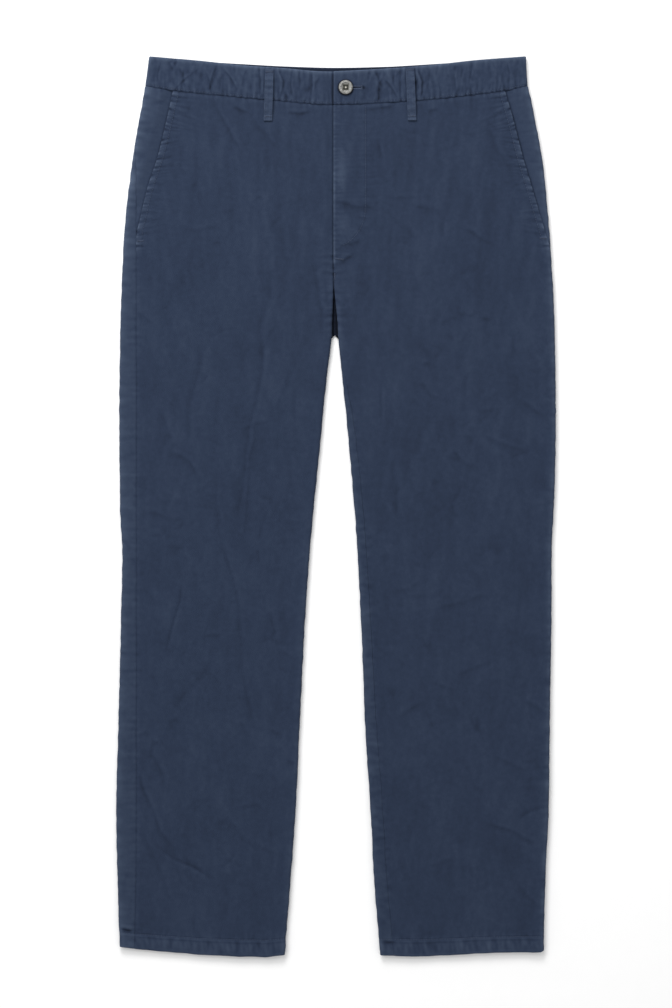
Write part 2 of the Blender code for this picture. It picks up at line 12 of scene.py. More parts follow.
import bmesh
import bpy
import numpy as np
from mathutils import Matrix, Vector

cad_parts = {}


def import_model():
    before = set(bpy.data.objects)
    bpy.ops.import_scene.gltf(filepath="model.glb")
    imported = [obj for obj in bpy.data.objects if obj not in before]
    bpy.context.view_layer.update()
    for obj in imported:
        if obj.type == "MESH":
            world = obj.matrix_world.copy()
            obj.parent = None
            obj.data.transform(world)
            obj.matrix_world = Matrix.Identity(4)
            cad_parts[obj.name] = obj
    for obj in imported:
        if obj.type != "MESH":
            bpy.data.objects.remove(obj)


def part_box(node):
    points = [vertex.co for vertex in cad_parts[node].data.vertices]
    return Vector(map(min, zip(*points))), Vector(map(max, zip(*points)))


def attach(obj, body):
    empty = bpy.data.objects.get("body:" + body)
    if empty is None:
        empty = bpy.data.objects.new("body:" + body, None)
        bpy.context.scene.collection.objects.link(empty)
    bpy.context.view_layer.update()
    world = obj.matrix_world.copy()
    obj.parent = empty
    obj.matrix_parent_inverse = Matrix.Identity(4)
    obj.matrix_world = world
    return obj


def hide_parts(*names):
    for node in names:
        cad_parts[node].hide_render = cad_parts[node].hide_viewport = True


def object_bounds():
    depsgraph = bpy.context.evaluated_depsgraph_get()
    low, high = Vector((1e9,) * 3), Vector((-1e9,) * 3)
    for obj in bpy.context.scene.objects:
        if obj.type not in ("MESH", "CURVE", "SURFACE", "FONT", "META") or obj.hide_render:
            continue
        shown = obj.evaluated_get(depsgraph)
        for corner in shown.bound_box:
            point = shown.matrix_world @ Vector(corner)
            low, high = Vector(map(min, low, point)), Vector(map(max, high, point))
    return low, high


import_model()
cad_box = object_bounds()

MM = 0.001

# Sizes read from the solids
CENTRE_DOWN = cad_box[1][1] / MM
EDGE_RADIUS = 0.5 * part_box("right_back_panel")[1].z / MM
BUTTON_LOW, BUTTON_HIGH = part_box("waist_button")
BUTTON_CENTRE = 0.5 * (BUTTON_LOW + BUTTON_HIGH)
BUTTON_RADIUS = 0.5 * (BUTTON_HIGH.x - BUTTON_LOW.x) / MM

# Sizes shared with the solids
CLOTH = 1.2
BAND_CLOTH = 2.0
SEAM_GAP = 0.3
HALF_TURN = math.pi * EDGE_RADIUS
ROLLED_SEAM_GAP = 0.5
EDGE_BLEND = 26.0
PANEL_TOP = 35.0
PANEL_HEM = 1062.0
HEM_DEPTH = 18.0
HEM_EXTRA = 0.35
WAIST_FADE = 200.0
HEM_FADE = 80.0
LEAST_HOLLOW = 0.35

Side = namedtuple("Side", "down right left")
SIDES = (
    Side(0, 222.0, 225.5),
    Side(34, 226.7, 227.9),
    Side(56, 230.3, 232.6),
    Side(87, 236.2, 238.6),
    Side(134, 243.4, 246.9),
    Side(182, 249.3, 251.7),
    Side(230, 252.9, 255.3),
    Side(332, 256.5, 260.0),
    Side(432, 257.6, 261.2),
    Side(539, 256.5, 258.8),
    Side(587, 254.0, 256.6),
    Side(658, 255.2, 256.2),
    Side(801, 258.8, 254.1),
    Side(896, 261.2, 252.7),
    Side(967, 260.0, 249.3),
    Side(1027, 258.3, 247.4),
    Side(1070, 257.0, 246.6),
)
Inseam = namedtuple("Inseam", "down right left")
CROTCH_DOWN = 332.0
INNER_EDGES = (
    Inseam(332, 4.8, 2.3),
    Inseam(396, 12.5, 8.9),
    Inseam(468, 19.6, 16.1),
    Inseam(539, 26.8, 22.0),
    Inseam(658, 36.3, 29.2),
    Inseam(801, 43.4, 35.1),
    Inseam(896, 48.2, 41.1),
    Inseam(967, 53.0, 44.6),
    Inseam(1070, 61.9, 53.0),
)
Centre = namedtuple("Centre", "down x")
CENTRE_LINE = (
    Centre(0, -3.0), Centre(240, -3.0), Centre(290, -2.2), Centre(332, -1.4), Centre(1070, -1.4),
)
Level = namedtuple("Level", "down height")
FRONT_HEIGHTS = (
    Level(0, 5.4),
    Level(120, 5.3),
    Level(260, 5.0),
    Level(400, 4.7),
    Level(700, 4.6),
    Level(960, 4.6),
    Level(1070, 5.0),
)
Line = namedtuple("Line", "x down")
FRONT_TOP = (
    Line(-222, 0.0), Line(-164, 4.9), Line(-107, 10.9), Line(-64, 13.8), Line(-12, 17.8),
    Line(51, 14.8), Line(108, 10.8), Line(165, 4.5), Line(225.5, 0.0),
)
BACK_TOP = (
    Line(-222, 0.8), Line(-164, 5.4), Line(-107, 8.8), Line(-60, 11.3), Line(0, 12.9),
    Line(60, 11.7), Line(108, 9.0), Line(150, 6.3), Line(225.5, 0.8),
)
WAIST_SEAM = (
    Line(-227, 35.0), Line(-193, 40.8), Line(-85, 51.2), Line(-5, 57.5),
    Line(84, 53.5), Line(201, 40.8), Line(228, 35.0),
)
# Depths of the waistband at the centre
FRONT_BAND_DEPTH = WAIST_SEAM[3].down - FRONT_TOP[4].down
BACK_BAND_DEPTH = WAIST_SEAM[3].down - BACK_TOP[4].down
RIGHT_HEM = (
    Line(-257, 1058.0), Line(-240, 1060.0), Line(-142, 1068.4), Line(-86, 1070.0), Line(-61, 1067.4),
)
LEFT_HEM = (
    Line(54, 1068.4), Line(93, 1069.2), Line(148, 1067.0), Line(192, 1065.0),
    Line(243, 1064.2), Line(248, 1061.5),
)
Mouth = namedtuple("Mouth", "down right left")
POCKET_MOUTHS = (
    Mouth(35, 193.4, 200.5),
    Mouth(70, 200.6, 210.0),
    Mouth(119, 212.0, 222.0),
    Mouth(155, 223.6, 232.6),
    Mouth(185, 231.0, 241.5),
    Mouth(219, 237.3, 251.6),
    Mouth(232, 237.3, 256.0),
)
POCKET_END = 232.0
FACING_END = {"right": 212.0, "left": 226.0}
POCKET_LAP = 7.0
POCKET_LAP_END = 140.0
POCKET_LAP_FADE = 25.0
POCKET_DROP = 1.7
POCKET_DROP_FADE = 35.0
POCKET_RISE = 14.0
Place = namedtuple("Place", "down place")
RIGHT_SIDE_SEAM = (
    Place(0, 223.6), Place(34, 228.2), Place(60, 232.6), Place(87, 237.4), Place(108, 239.0),
    Place(135, 237.4), Place(944, 237.4), Place(1070, 239.8),
)
LEFT_SIDE_REACH = 0.5 * HALF_TURN
Roll = namedtuple("Roll", "down right_front right_back left_front left_back")
FRONTS_PART = 262.0
FRONTS_ROLLED = 300.0
INNER_ROLLS = (
    Roll(FRONTS_PART, 0.0, 0.0, 0.0, 0.0),
    Roll(FRONTS_ROLLED, 3.0, 0.0, 2.6, 0.0),
    Roll(331.8, 4.9, 0.0, 4.3, 0.0),
    Roll(332.2, 5.0, 2.4, 4.3, 4.3),
    Roll(337, 6.0, 2.3, 4.2, 4.5),
    Roll(352, 7.6, 1.2, 2.6, 6.3),
    Roll(400, 7.6, 1.2, -3.0, 12.0),
    Roll(450, 7.6, 1.2, -6.0, 15.0),
    Roll(520, 7.6, 1.2, -7.6, 16.6),
    Roll(660, 7.6, 1.2, -8.4, 17.4),
    Roll(800, 7.6, 1.2, -10.8, 19.8),
    Roll(940, 7.6, 1.2, -12.2, 21.2),
    Roll(1070, 7.6, 1.2, -13.6, 22.6),
)
FLY_END = 246.0
LAP_END = 204.0
LAP = 10.0
LAP_DROP = 0.8
LAP_WIDTH = 34.0
BAND_LAP = 24.0
BAND_LAP_LIFT = 1.2
BAND_HEIGHT = 5.7
BAND_RADIUS = 0.5 * BAND_HEIGHT
Loop = namedtuple("Loop", "name top_x foot_x top foot")
BELT_LOOPS = (
    Loop("right_front_belt_loop", -79.0, -80.8, 15.5, 77.0),
    Loop("left_front_belt_loop", 88.0, 90.4, 13.0, 76.5),
)
LOOP_WIDTH = 10.5
LOOP_CLOTH = 1.5
LOOP_SEAT = 0.4
LOOP_ARCH = 1.3
LOOP_END = 5.0

# Creases: each is a sharp valley, steep towards its lip and gentle on its other side. Depth and width
# are scaled by CREASE_DEPTH and CREASE_WIDTH. The lip is a share of the depth, and lies on the left of
# the path as it runs where it is above zero, on the right below zero. A path is a row of (x, down).
# The paths of the five tables down to WAISTBAND_CREASES were read from the photo. Their depths were then
# fitted to the photo's contrast by a scratch script, and are not chosen by hand: see "Rules of the
# message that are not kept" in report.md. The last two tables are listed, not fitted.
Crease = namedtuple("Crease", "depth width lip path")
HIPS_RIGHT_CREASES = (
    Crease(0.6, 3.0, 0.5, ((-150, 49), (-141, 64), (-131, 82), (-122, 99), (-109, 118))),
    Crease(1.4, 3.0, 0.4, ((-124, 59), (-112, 65), (-103, 67))),
    Crease(0.6, 4.0, 0.4, ((-103, 70), (-91, 85), (-76, 103), (-64, 112))),
    Crease(1.6, 3.0, 0.6, ((-63, 67), (-43, 69), (-29, 66))),
    Crease(0.4, 5.0, 0.3, ((-147, 73), (-144, 100), (-143, 112))),
    Crease(0.8, 6.0, 0.3, ((-167, 106), (-167, 130), (-169, 165), (-169, 175))),
    Crease(0.5, 3.5, 0.4, ((-192, 202), (-171, 207), (-150, 204), (-135, 201))),
    Crease(0.3, 4.5, 0.3, ((-141, 187), (-121, 183), (-115, 178))),
    Crease(0.2, 4.5, 0.3, ((-153, 239), (-162, 252))),
    Crease(0.6, 3.5, 0.5, ((-238, 303), (-227, 311), (-216, 321))),
    Crease(0.7, 4.0, 0.4, ((-25, 245), (-22, 278), (-17, 308), (-16, 338))),
    Crease(0.4, 4.0, 0.3, ((-12, 260), (-10, 302))),
    Crease(0.8, 3.0, 0.3, ((-148, 222), (-134, 222))),
    Crease(0.3, 3.0, 0.4, ((-191, 124), (-177, 145))),
)
HIPS_LEFT_CREASES = (
    Crease(2.0, 5.5, 0.4, ((-4, 171), (12, 177), (26, 180), (48, 180))),
    Crease(0.9, 4.0, 0.5, ((-2, 226), (16, 224), (38, 217))),
    Crease(1.2, 3.0, 0.5, ((-4, 243), (10, 242), (24, 234))),
    Crease(1.0, 5.0, 0.5, ((90, 177), (106, 181), (120, 186), (128, 194))),
    Crease(0.4, 2.4, 0.4, ((128, 189), (127, 207), (126, 219))),
    Crease(0.6, 3.2, 0.5, ((147, 202), (162, 210), (174, 218), (186, 222))),
    Crease(0.6, 5.0, 0.3, ((82, 202), (91, 213), (103, 219))),
    Crease(0.6, 3.5, 0.4, ((61, 170), (79, 168), (94, 168))),
    Crease(0.5, 4.5, 0.4, ((174, 79), (186, 97), (192, 115), (204, 130), (214, 149))),
    Crease(0.4, 3.5, 0.4, ((141, 87), (159, 93), (171, 94))),
    Crease(0.7, 3.0, 0.3, ((49, 97), (53, 115), (52, 126))),
    Crease(0.5, 5.0, 0.3, ((70, 130), (70, 157))),
    Crease(0.5, 3.5, 0.4, ((144, 294), (147, 305), (159, 308), (171, 302))),
    Crease(0.4, 4.0, 0.4, ((120, 321), (138, 311), (156, 308))),
    Crease(0.6, 3.5, 0.4, ((171, 311), (186, 315))),
    Crease(1.2, 3.0, 0.5, ((30, 65), (48, 63), (61, 60), (72, 58))),
    Crease(0.9, 3.0, 0.5, ((108, 67), (123, 63))),
    Crease(0.3, 3.0, 0.3, ((123, 225), (116, 239))),
    Crease(0.1, 4.0, 0.3, ((94, 260), (111, 257), (121, 262))),
)
RIGHT_LEG_CREASES = (
    Crease(0.6, 5.0, 0.5, ((-74, 240), (-78, 266), (-80, 287), (-87, 304),
                            (-92, 326), (-89, 352), (-88, 371))),
    Crease(0.4, 3.0, 0.6, ((-87, 330), (-88, 372), (-94, 405), (-101, 432), (-106, 456),
                            (-108, 483), (-111, 515), (-118, 543), (-121, 559))),
    Crease(0.4, 2.4, -0.5, ((-98, 428), (-97, 456), (-102, 476), (-104, 512), (-106, 543), (-110, 575))),
    Crease(0.4, 3.2, 0.5, ((-141, 492), (-143, 528), (-140, 558), (-135, 584), (-127, 606), (-121, 626),
                            (-117, 653), (-115, 677), (-113, 713), (-109, 748), (-103, 772), (-98, 792),
                            (-93, 805))),
    Crease(0.4, 3.0, 0.4, ((-94, 798), (-79, 801), (-60, 808))),
    Crease(0.4, 4.0, 0.5, ((-150, 335), (-159, 352), (-167, 388), (-174, 409),
                            (-177, 427), (-175, 447), (-179, 465))),
    Crease(0.6, 3.5, 0.4, ((-210, 416), (-203, 435), (-198, 452), (-207, 464))),
    Crease(0.6, 3.0, 0.6, ((-204, 467), (-186, 475), (-174, 483), (-168, 495), (-160, 504))),
    Crease(0.5, 2.8, 0.5, ((-234, 545), (-219, 542), (-205, 547), (-192, 550), (-173, 548))),
    Crease(0.4, 2.6, 0.4, ((-193, 565), (-179, 551))),
    Crease(0.7, 2.2, 0.5, ((-183, 623), (-186, 647), (-191, 665), (-198, 689), (-202, 709))),
    Crease(0.7, 4.0, 0.4, ((-50, 389), (-50, 415), (-50, 438))),
    Crease(0.7, 3.0, 0.4, ((-94, 582), (-91, 604))),
    Crease(0.7, 3.5, 0.4, ((-80, 657), (-73, 683), (-77, 697))),
    Crease(0.2, 3.0, 0.4, ((-79, 526), (-88, 558), (-103, 606), (-115, 627))),
    Crease(0.6, 2.4, 0.4, ((-160, 689), (-132, 688))),
    Crease(0.5, 6.0, 0.4, ((-141, 717), (-160, 736), (-178, 754), (-199, 782))),
    Crease(0.5, 3.0, 0.4, ((-238, 808), (-221, 802))),
    Crease(0.5, 2.6, 0.4, ((-221, 814), (-209, 815))),
    Crease(0.6, 3.2, 0.5, ((-235, 822), (-221, 826), (-213, 840), (-205, 855), (-207, 876))),
    Crease(0.7, 3.0, 0.5, ((-238, 845), (-228, 876), (-217, 899), (-210, 921), (-194, 940))),
    Crease(0.3, 2.8, 0.5, ((-237, 903), (-225, 935), (-213, 959), (-202, 986), (-197, 1005))),
    Crease(0.7, 2.2, -0.8, ((-215, 938), (-196, 951), (-174, 961), (-156, 971), (-141, 979))),
    Crease(0.3, 4.0, 0.4, ((-181, 901), (-166, 886), (-149, 882))),
    Crease(0.4, 3.5, 0.4, ((-116, 893), (-100, 890), (-84, 891))),
    Crease(0.3, 3.5, 0.5, ((-152, 918), (-130, 908), (-121, 915), (-109, 933),
                            (-91, 939), (-73, 947), (-60, 949))),
    Crease(0.6, 3.5, 0.4, ((-60, 834), (-46, 844))),
    Crease(0.3, 4.0, 0.3, ((-134, 971), (-115, 976))),
    Crease(0.3, 4.0, 0.3, ((-248, 647), (-241, 673))),
    Crease(0.5, 3.0, 0.4, ((-256, 569), (-249, 578), (-242, 589))),
    Crease(0.6, 3.5, 0.3, ((-186, 928), (-177, 923))),
    Crease(0.4, 5.0, 0.3, ((-221, 719), (-212, 754))),
    Crease(4.0, 2.2, 0.6, ((-257, 1037), (-241, 1039))),
)
LEFT_LEG_CREASES = (
    Crease(0.5, 2.2, 0.6, ((53, 384), (53, 415), (54, 447))),
    Crease(0.5, 4.0, 0.4, ((67, 471), (67, 495), (71, 516), (71, 542), (70, 566))),
    Crease(0.3, 6.0, 0.5, ((120, 420), (108, 435), (94, 463), (85, 487), (81, 504), (79, 525))),
    Crease(0.4, 3.0, 0.4, ((85, 385), (97, 390), (111, 393))),
    Crease(0.6, 3.0, 0.4, ((101, 366), (115, 366))),
    Crease(0.3, 4.0, 0.4, ((132, 339), (119, 357), (109, 364))),
    Crease(0.6, 4.0, 0.5, ((156, 373), (153, 391), (153, 408))),
    Crease(0.5, 2.8, 0.6, ((170, 448), (186, 456), (201, 462), (216, 467), (232, 469))),
    Crease(0.4, 2.4, 0.4, ((232, 469), (216, 473), (204, 478))),
    Crease(0.4, 2.8, 0.6, ((128, 475), (141, 478), (156, 485), (172, 488))),
    Crease(0.7, 2.6, 0.5, ((138, 467), (151, 481))),
    Crease(0.2, 3.5, 0.3, ((110, 465), (121, 472))),
    Crease(0.4, 4.0, 0.3, ((113, 503), (125, 507))),
    Crease(0.3, 3.0, 0.4, ((172, 495), (165, 509), (159, 523))),
    Crease(0.4, 3.2, 0.4, ((144, 500), (146, 516), (138, 531), (141, 543), (151, 553))),
    Crease(0.5, 3.0, 0.5, ((210, 404), (227, 415), (242, 424), (258, 434))),
    Crease(0.3, 3.0, 0.3, ((205, 375), (220, 388))),
    Crease(0.4, 3.0, 0.4, ((167, 422), (189, 421), (198, 417))),
    Crease(0.5, 4.0, 0.3, ((135, 422), (140, 439), (141, 458))),
    Crease(0.4, 3.2, 0.4, ((152, 446), (166, 464))),
    Crease(0.4, 8.0, 0.4, ((200, 571), (177, 588), (159, 602), (135, 615))),
    Crease(0.4, 5.0, 0.3, ((202, 583), (183, 591))),
    Crease(0.4, 4.0, 0.3, ((121, 584), (106, 600))),
    Crease(0.4, 3.2, 0.5, ((113, 659), (132, 653), (150, 650), (171, 642), (184, 639))),
    Crease(0.4, 3.0, 0.4, ((86, 641), (113, 641))),
    Crease(0.4, 7.0, 0.2, ((57, 588), (64, 601))),
    Crease(0.7, 8.0, 0.3, ((244, 483), (249, 525))),
    Crease(0.5, 3.2, 0.5, ((140, 736), (159, 729), (174, 722), (188, 716))),
    Crease(0.6, 3.5, 0.4, ((69, 791), (85, 778), (100, 769), (107, 766))),
    Crease(0.5, 3.5, 0.3, ((108, 795), (121, 790))),
    Crease(0.8, 3.2, 0.5, ((220, 764), (236, 772), (251, 782))),
    Crease(0.6, 3.0, 0.5, ((188, 831), (207, 841), (222, 848), (232, 849))),
    Crease(1.1, 5.0, 0.3, ((166, 783), (169, 807))),
    Crease(0.5, 3.0, 0.3, ((140, 767), (144, 778), (147, 785))),
    Crease(0.5, 4.5, 0.3, ((59, 754), (73, 755))),
    Crease(0.4, 6.0, 0.2, ((106, 813), (106, 834))),
    Crease(0.8, 2.8, 0.5, ((251, 889), (236, 894), (225, 900), (214, 909))),
    Crease(0.6, 2.6, 0.6, ((170, 907), (186, 914), (207, 920), (225, 930), (241, 936))),
    Crease(0.2, 3.5, 0.4, ((166, 923), (147, 933), (125, 940))),
    Crease(0.4, 3.5, 0.4, ((113, 963), (126, 958), (140, 953))),
    Crease(0.4, 3.2, 0.5, ((216, 984), (230, 1001), (244, 1014))),
    Crease(1.4, 2.8, 0.4, ((52, 1051), (63, 1052), (73, 1051))),
)
WAISTBAND_CREASES = (
    Crease(0.2, 1.5, 0.7, ((-193, 41), (-182, 29), (-168, 19), (-160, 14))),
    Crease(0.3, 1.4, 0.6, ((-208, 6), (-211, 20), (-212, 33))),
    Crease(0.3, 1.5, -0.9, ((-141, 9), (-146, 20), (-149, 33), (-148, 47))),
    Crease(0.2, 1.3, 0.9, ((-157, 16), (-150, 30), (-149, 46))),
    Crease(0.3, 1.5, 0.9, ((-135, 14), (-126, 26), (-119, 38), (-114, 50))),
    Crease(0.1, 1.3, -0.7, ((-103, 12), (-109, 24), (-113, 40))),
    Crease(0.4, 1.5, 0.7, ((-92, 11), (-90, 30), (-91, 50))),
    Crease(0.4, 1.6, -0.7, ((-68, 14), (-62, 30), (-66, 52))),
    Crease(0.3, 1.3, 0.5, ((-52, 16), (-54, 34), (-51, 50))),
    Crease(0.2, 1.3, 0.5, ((-45, 15), (-43, 30), (-43, 44))),
    Crease(0.5, 1.4, 0.6, ((-29, 17), (-28, 34), (-30, 50))),
    Crease(0.65, 2.2, -0.7, ((46, 15), (50, 26), (51, 40), (51, 56))),
    Crease(0.25, 1.8, 0.5, ((55, 14), (51, 25))),
    Crease(0.3, 2.4, 0.4, ((77, 13), (76, 30), (77, 48))),
    Crease(0.4, 1.8, 0.5, ((14, 18), (10, 27))),
    Crease(0.3, 1.6, -0.5, ((22, 18), (18, 25))),
    Crease(0.4, 1.4, 0.5, ((57, 27), (66, 37), (73, 51))),
    Crease(0.3, 1.4, 0.5, ((71, 14), (68, 28), (70, 40))),
    Crease(0.6, 1.6, -0.7, ((97, 14), (103, 30), (101, 50))),
    Crease(0.2, 1.3, 0.5, ((112, 14), (109, 40))),
    Crease(0.2, 1.4, 0.6, ((143, 8), (140, 24), (142, 44))),
    Crease(0.3, 1.3, 0.5, ((151, 12), (148, 28))),
    Crease(0.2, 1.5, 0.7, ((162, 5), (160, 24), (155, 45))),
    Crease(0.1, 1.3, 0.5, ((181, 6), (184, 24), (182, 42))),
    Crease(0.3, 1.6, 0.5, ((203, 4), (206, 20), (205, 36))),
)
FACING_CREASES = (
    Crease(1.2, 5.0, 0.5, ((-223, 60), (-211, 55), (-199, 51))),
    Crease(1.0, 5.0, 0.5, ((-230, 92), (-221, 87), (-210, 87))),
    Crease(0.8, 5.0, 0.5, ((-238, 128), (-231, 118), (-222, 112))),
    Crease(1.0, 5.0, 0.5, ((210, 66), (216, 80), (219, 98))),
    Crease(0.8, 5.0, -0.5, ((232, 104), (227, 118), (231, 134))),
)
UNDERSIDE_CREASES = (
    Crease(0.5, 6.0, 0.3, ((-60, 190), (-90, 300), (-88, 420))),
    Crease(0.5, 6.0, 0.3, ((-180, 300), (-200, 420), (-190, 520))),
    Crease(0.5, 5.0, 0.3, ((-210, 640), (-150, 690), (-90, 700))),
    Crease(0.5, 5.0, 0.3, ((-230, 860), (-180, 905), (-110, 950))),
    Crease(0.5, 6.0, 0.3, ((60, 200), (96, 320), (90, 470))),
    Crease(0.5, 5.0, 0.3, ((230, 430), (170, 470), (100, 480))),
    Crease(0.5, 5.0, 0.3, ((80, 640), (140, 690), (220, 700))),
    Crease(0.5, 5.0, 0.3, ((90, 960), (160, 920), (230, 905))),
)

# Relief of the cloth, and how pale or dark it is painted. Above 0 the dye is rubbed off; below 0 the cloth
# is darker, partly as dye kept in creases and hollows, and partly as painted shade in valleys, seams, gaps
# and on hidden insides.
CREASE_DEPTH = 0.25
CREASE_WEAR_AND_SHADE = 0.8
CREASE_WIDTH = 0.8
BAND_CREASE_DEPTH = 3.4  # as a multiple of CREASE_DEPTH
LIP_HEIGHT = 0.6
SMALL_CREASES = 300
BAND_SMALL = 90
CRUMPLE = ((60.0, 0.46), (26.0, 0.18), (12.0, 0.058), (6.0, 0.026))  # cell and height of its dents
CRUMPLE_STRETCH = 2.2
CREST_WEAR_AND_SHADE = 1.6
UNDER_CRUMPLE = 0.27
UNDER_SINK = 0.12
UNDER_DEEPEST = 0.3
EDGE_UNEVEN = 0.5
EDGE_WEAR = {"right": 1.6, "left": 1.0}
EDGE_FADE = {"right": 0.5, "left": 0.0}  # share of the edge's wear that is lost down the leg
EDGE_REACH = {"right": 6.0, "left": 3.0}
INNER_WEAR = 0.4
INNER_WEAR_START = {"right": 560.0, "left": 272.0}
STRIP_WEAR = 0.35  # of the back's cloth beside the right side seam

# Places of the fly whose dye is rubbed pale
Worn = namedtuple("Worn", "x down half_x half_down amount")
FLY_WORN = (Worn(6, 138, 8, 26, 0.8), Worn(8, 200, 8, 14, 0.5))

# Sewing
SIDE_PUCKERS_START = 130.0
BAND_STITCH_UP = 2.0
LOOP_STITCH_OUT = 3.1
BUTTONHOLE_X = 19.5
BUTTONHOLE_LENGTH = 21.0
BUTTON_DOWN = CENTRE_DOWN - BUTTON_CENTRE.y / MM
FLY_STITCH = ((35, 58), (35, 120), (35, 176), (33, 194), (27, 208), (17, 219), (6, 226))
POCKET_STITCH_IN = 6.5
STITCH_PITCH = 3.1
STITCH_SHARE = 0.78
THREAD_RADIUS = 0.24
POCKET_TACK = {"right": 219.0, "left": 216.0}

# Colours in linear light
NAVY = (0.0212, 0.0325, 0.0620)
# The cloth is painted darker towards this: as shade in seams, gaps and hidden insides, and partly as dye
# kept in creases and hollows.
NAVY_SHADE = (0.0030, 0.0045, 0.0100)
NAVY_WORN = (0.0620, 0.0850, 0.1330)
THREAD = (0.0460, 0.0640, 0.1100)
BUTTON_THREAD = (0.035, 0.035, 0.028)
HORN_PALE = (0.34, 0.34, 0.325)
HORN_GREY = (0.08, 0.08, 0.074)
# The next three are painted shade: on the rim's outer side, and mottled in the sunken middle.
HORN_SIDE_SHADE = (0.06, 0.06, 0.058)
HORN_SHADE = (0.03, 0.031, 0.025)
HORN_SHADE_BROWN = (0.07, 0.07, 0.055)
HORN_SPOT = (0.4, 0.39, 0.34)
PAPER_LOW = (0.93, 0.93, 0.93)
PAPER_HIGH = (0.95, 0.95, 0.95)


# ---------------------------------------------------------------------------- curves and noise


def smoothstep(value):
    """0 to 1 on a soft curve."""
    value = np.clip(value, 0.0, 1.0)
    return value * value * (3.0 - 2.0 * value)


def table_columns(table, key, column):
    keys = np.array([getattr(row, key) for row in table], float)
    return keys, np.array([getattr(row, column) for row in table], float)


def straight(table, key, column, at):
    """Read a column of a table where its key is at, on straight lines between the rows."""
    return np.interp(at, *table_columns(table, key, column))


def curve(table, key, column, at):
    """Read a column of a table where its key is at, on a smooth curve through the rows."""
    keys, values = table_columns(table, key, column)
    at = np.clip(at, keys[0], keys[-1])
    row = np.clip(np.searchsorted(keys, at, side="right") - 1, 0, len(keys) - 2)
    spans = np.diff(keys)
    steps = np.diff(values) / spans
    turns = steps[:-1] * steps[1:] <= 0.0
    total = np.where(turns, 1.0, steps[:-1] + steps[1:])
    inner = np.where(turns, 0.0, 2.0 * steps[:-1] * steps[1:] / total)
    tangents = np.concatenate([steps[:1], inner, steps[-1:]])
    span = spans[row]
    t = (at - keys[row]) / span
    return (
        (1 + 2 * t) * (1 - t) ** 2 * values[row]
        + t * (1 - t) ** 2 * span * tangents[row]
        + t * t * (3 - 2 * t) * values[row + 1]
        + t * t * (t - 1) * span * tangents[row + 1]
    )


def waist_seam(x):
    """Distance down of the seam between the waistband and the panels."""
    return curve(WAIST_SEAM, "x", "down", x)


def front_top(x):
    """Distance down of the front waistband's upper edge."""
    return curve(FRONT_TOP, "x", "down", x)


def front_height(level):
    """Height of the front's face over the floor, away from the edges."""
    return curve(FRONT_HEIGHTS, "down", "height", level)


NOISE_SIZE = 256
NOISE_TURNS = np.random.default_rng(7).uniform(0.0, 2.0 * math.pi, (NOISE_SIZE, NOISE_SIZE))


def noise(x, y, cell, seed):
    """Smooth gradient noise of about -1 to 1, whose bumps are about a cell wide. Each seed has its own."""
    x, y = np.broadcast_arrays(np.asarray(x, float) / cell, np.asarray(y, float) / cell)
    x, y = x + 17.37 * seed, y + 53.11 * seed
    column, row = np.floor(x).astype(int), np.floor(y).astype(int)
    fx, fy = x - column, y - row

    def corner(i, j):
        turn = NOISE_TURNS[(column + i) % NOISE_SIZE, (row + j) % NOISE_SIZE]
        return np.cos(turn) * (fx - i) + np.sin(turn) * (fy - j)

    sx = fx**3 * (fx * (6 * fx - 15) + 10)
    sy = fy**3 * (fy * (6 * fy - 15) + 10)
    low = corner(0, 0) * (1 - sx) + corner(1, 0) * sx
    high = corner(0, 1) * (1 - sx) + corner(1, 1) * sx
    return 1.5 * (low * (1 - sy) + high * sy)


def noise_along(place, cell, seed):
    """The same noise along a single line."""
    return noise(place, 0.0, cell=cell, seed=seed)


def near_path(x, down, path):
    """Signed distance to a bent line, and the share of the line passed at the nearest point."""
    points = np.array(path, float)
    lengths = np.linalg.norm(np.diff(points, axis=0), axis=1)
    best = np.full(x.shape, np.inf)
    signed, share = np.zeros(x.shape), np.zeros(x.shape)
    passed = 0.0
    for (ax, ad), (bx, bd), length in zip(points, points[1:], lengths):
        ux, ud = (bx - ax) / length, (bd - ad) / length
        along = np.clip((x - ax) * ux + (down - ad) * ud, 0.0, length)
        away = np.hypot(x - ax - along * ux, down - ad - along * ud)
        closer = away < best
        best = np.where(closer, away, best)
        side = np.sign((x - ax) * ud - (down - ad) * ux)
        signed = np.where(closer, away * side, signed)
        share = np.where(closer, (passed + along) / lengths.sum(), share)
        passed += length
    return signed, share


def fold(away, width, lip):
    """Heights across a crease of depth 1: a sharp valley, and a low ridge on its lip's side."""
    beside = math.copysign(1.0, lip) * away
    reach = width * (1.15 - 0.5 * np.tanh(2.0 * beside / width))
    tip = 0.3 * width
    valley = np.exp((tip - np.sqrt(away * away + tip * tip)) / reach)
    ridge = np.exp(-(((beside - 1.7 * width) / (1.1 * width)) ** 2))
    return -valley, LIP_HEIGHT * abs(lip) * ridge


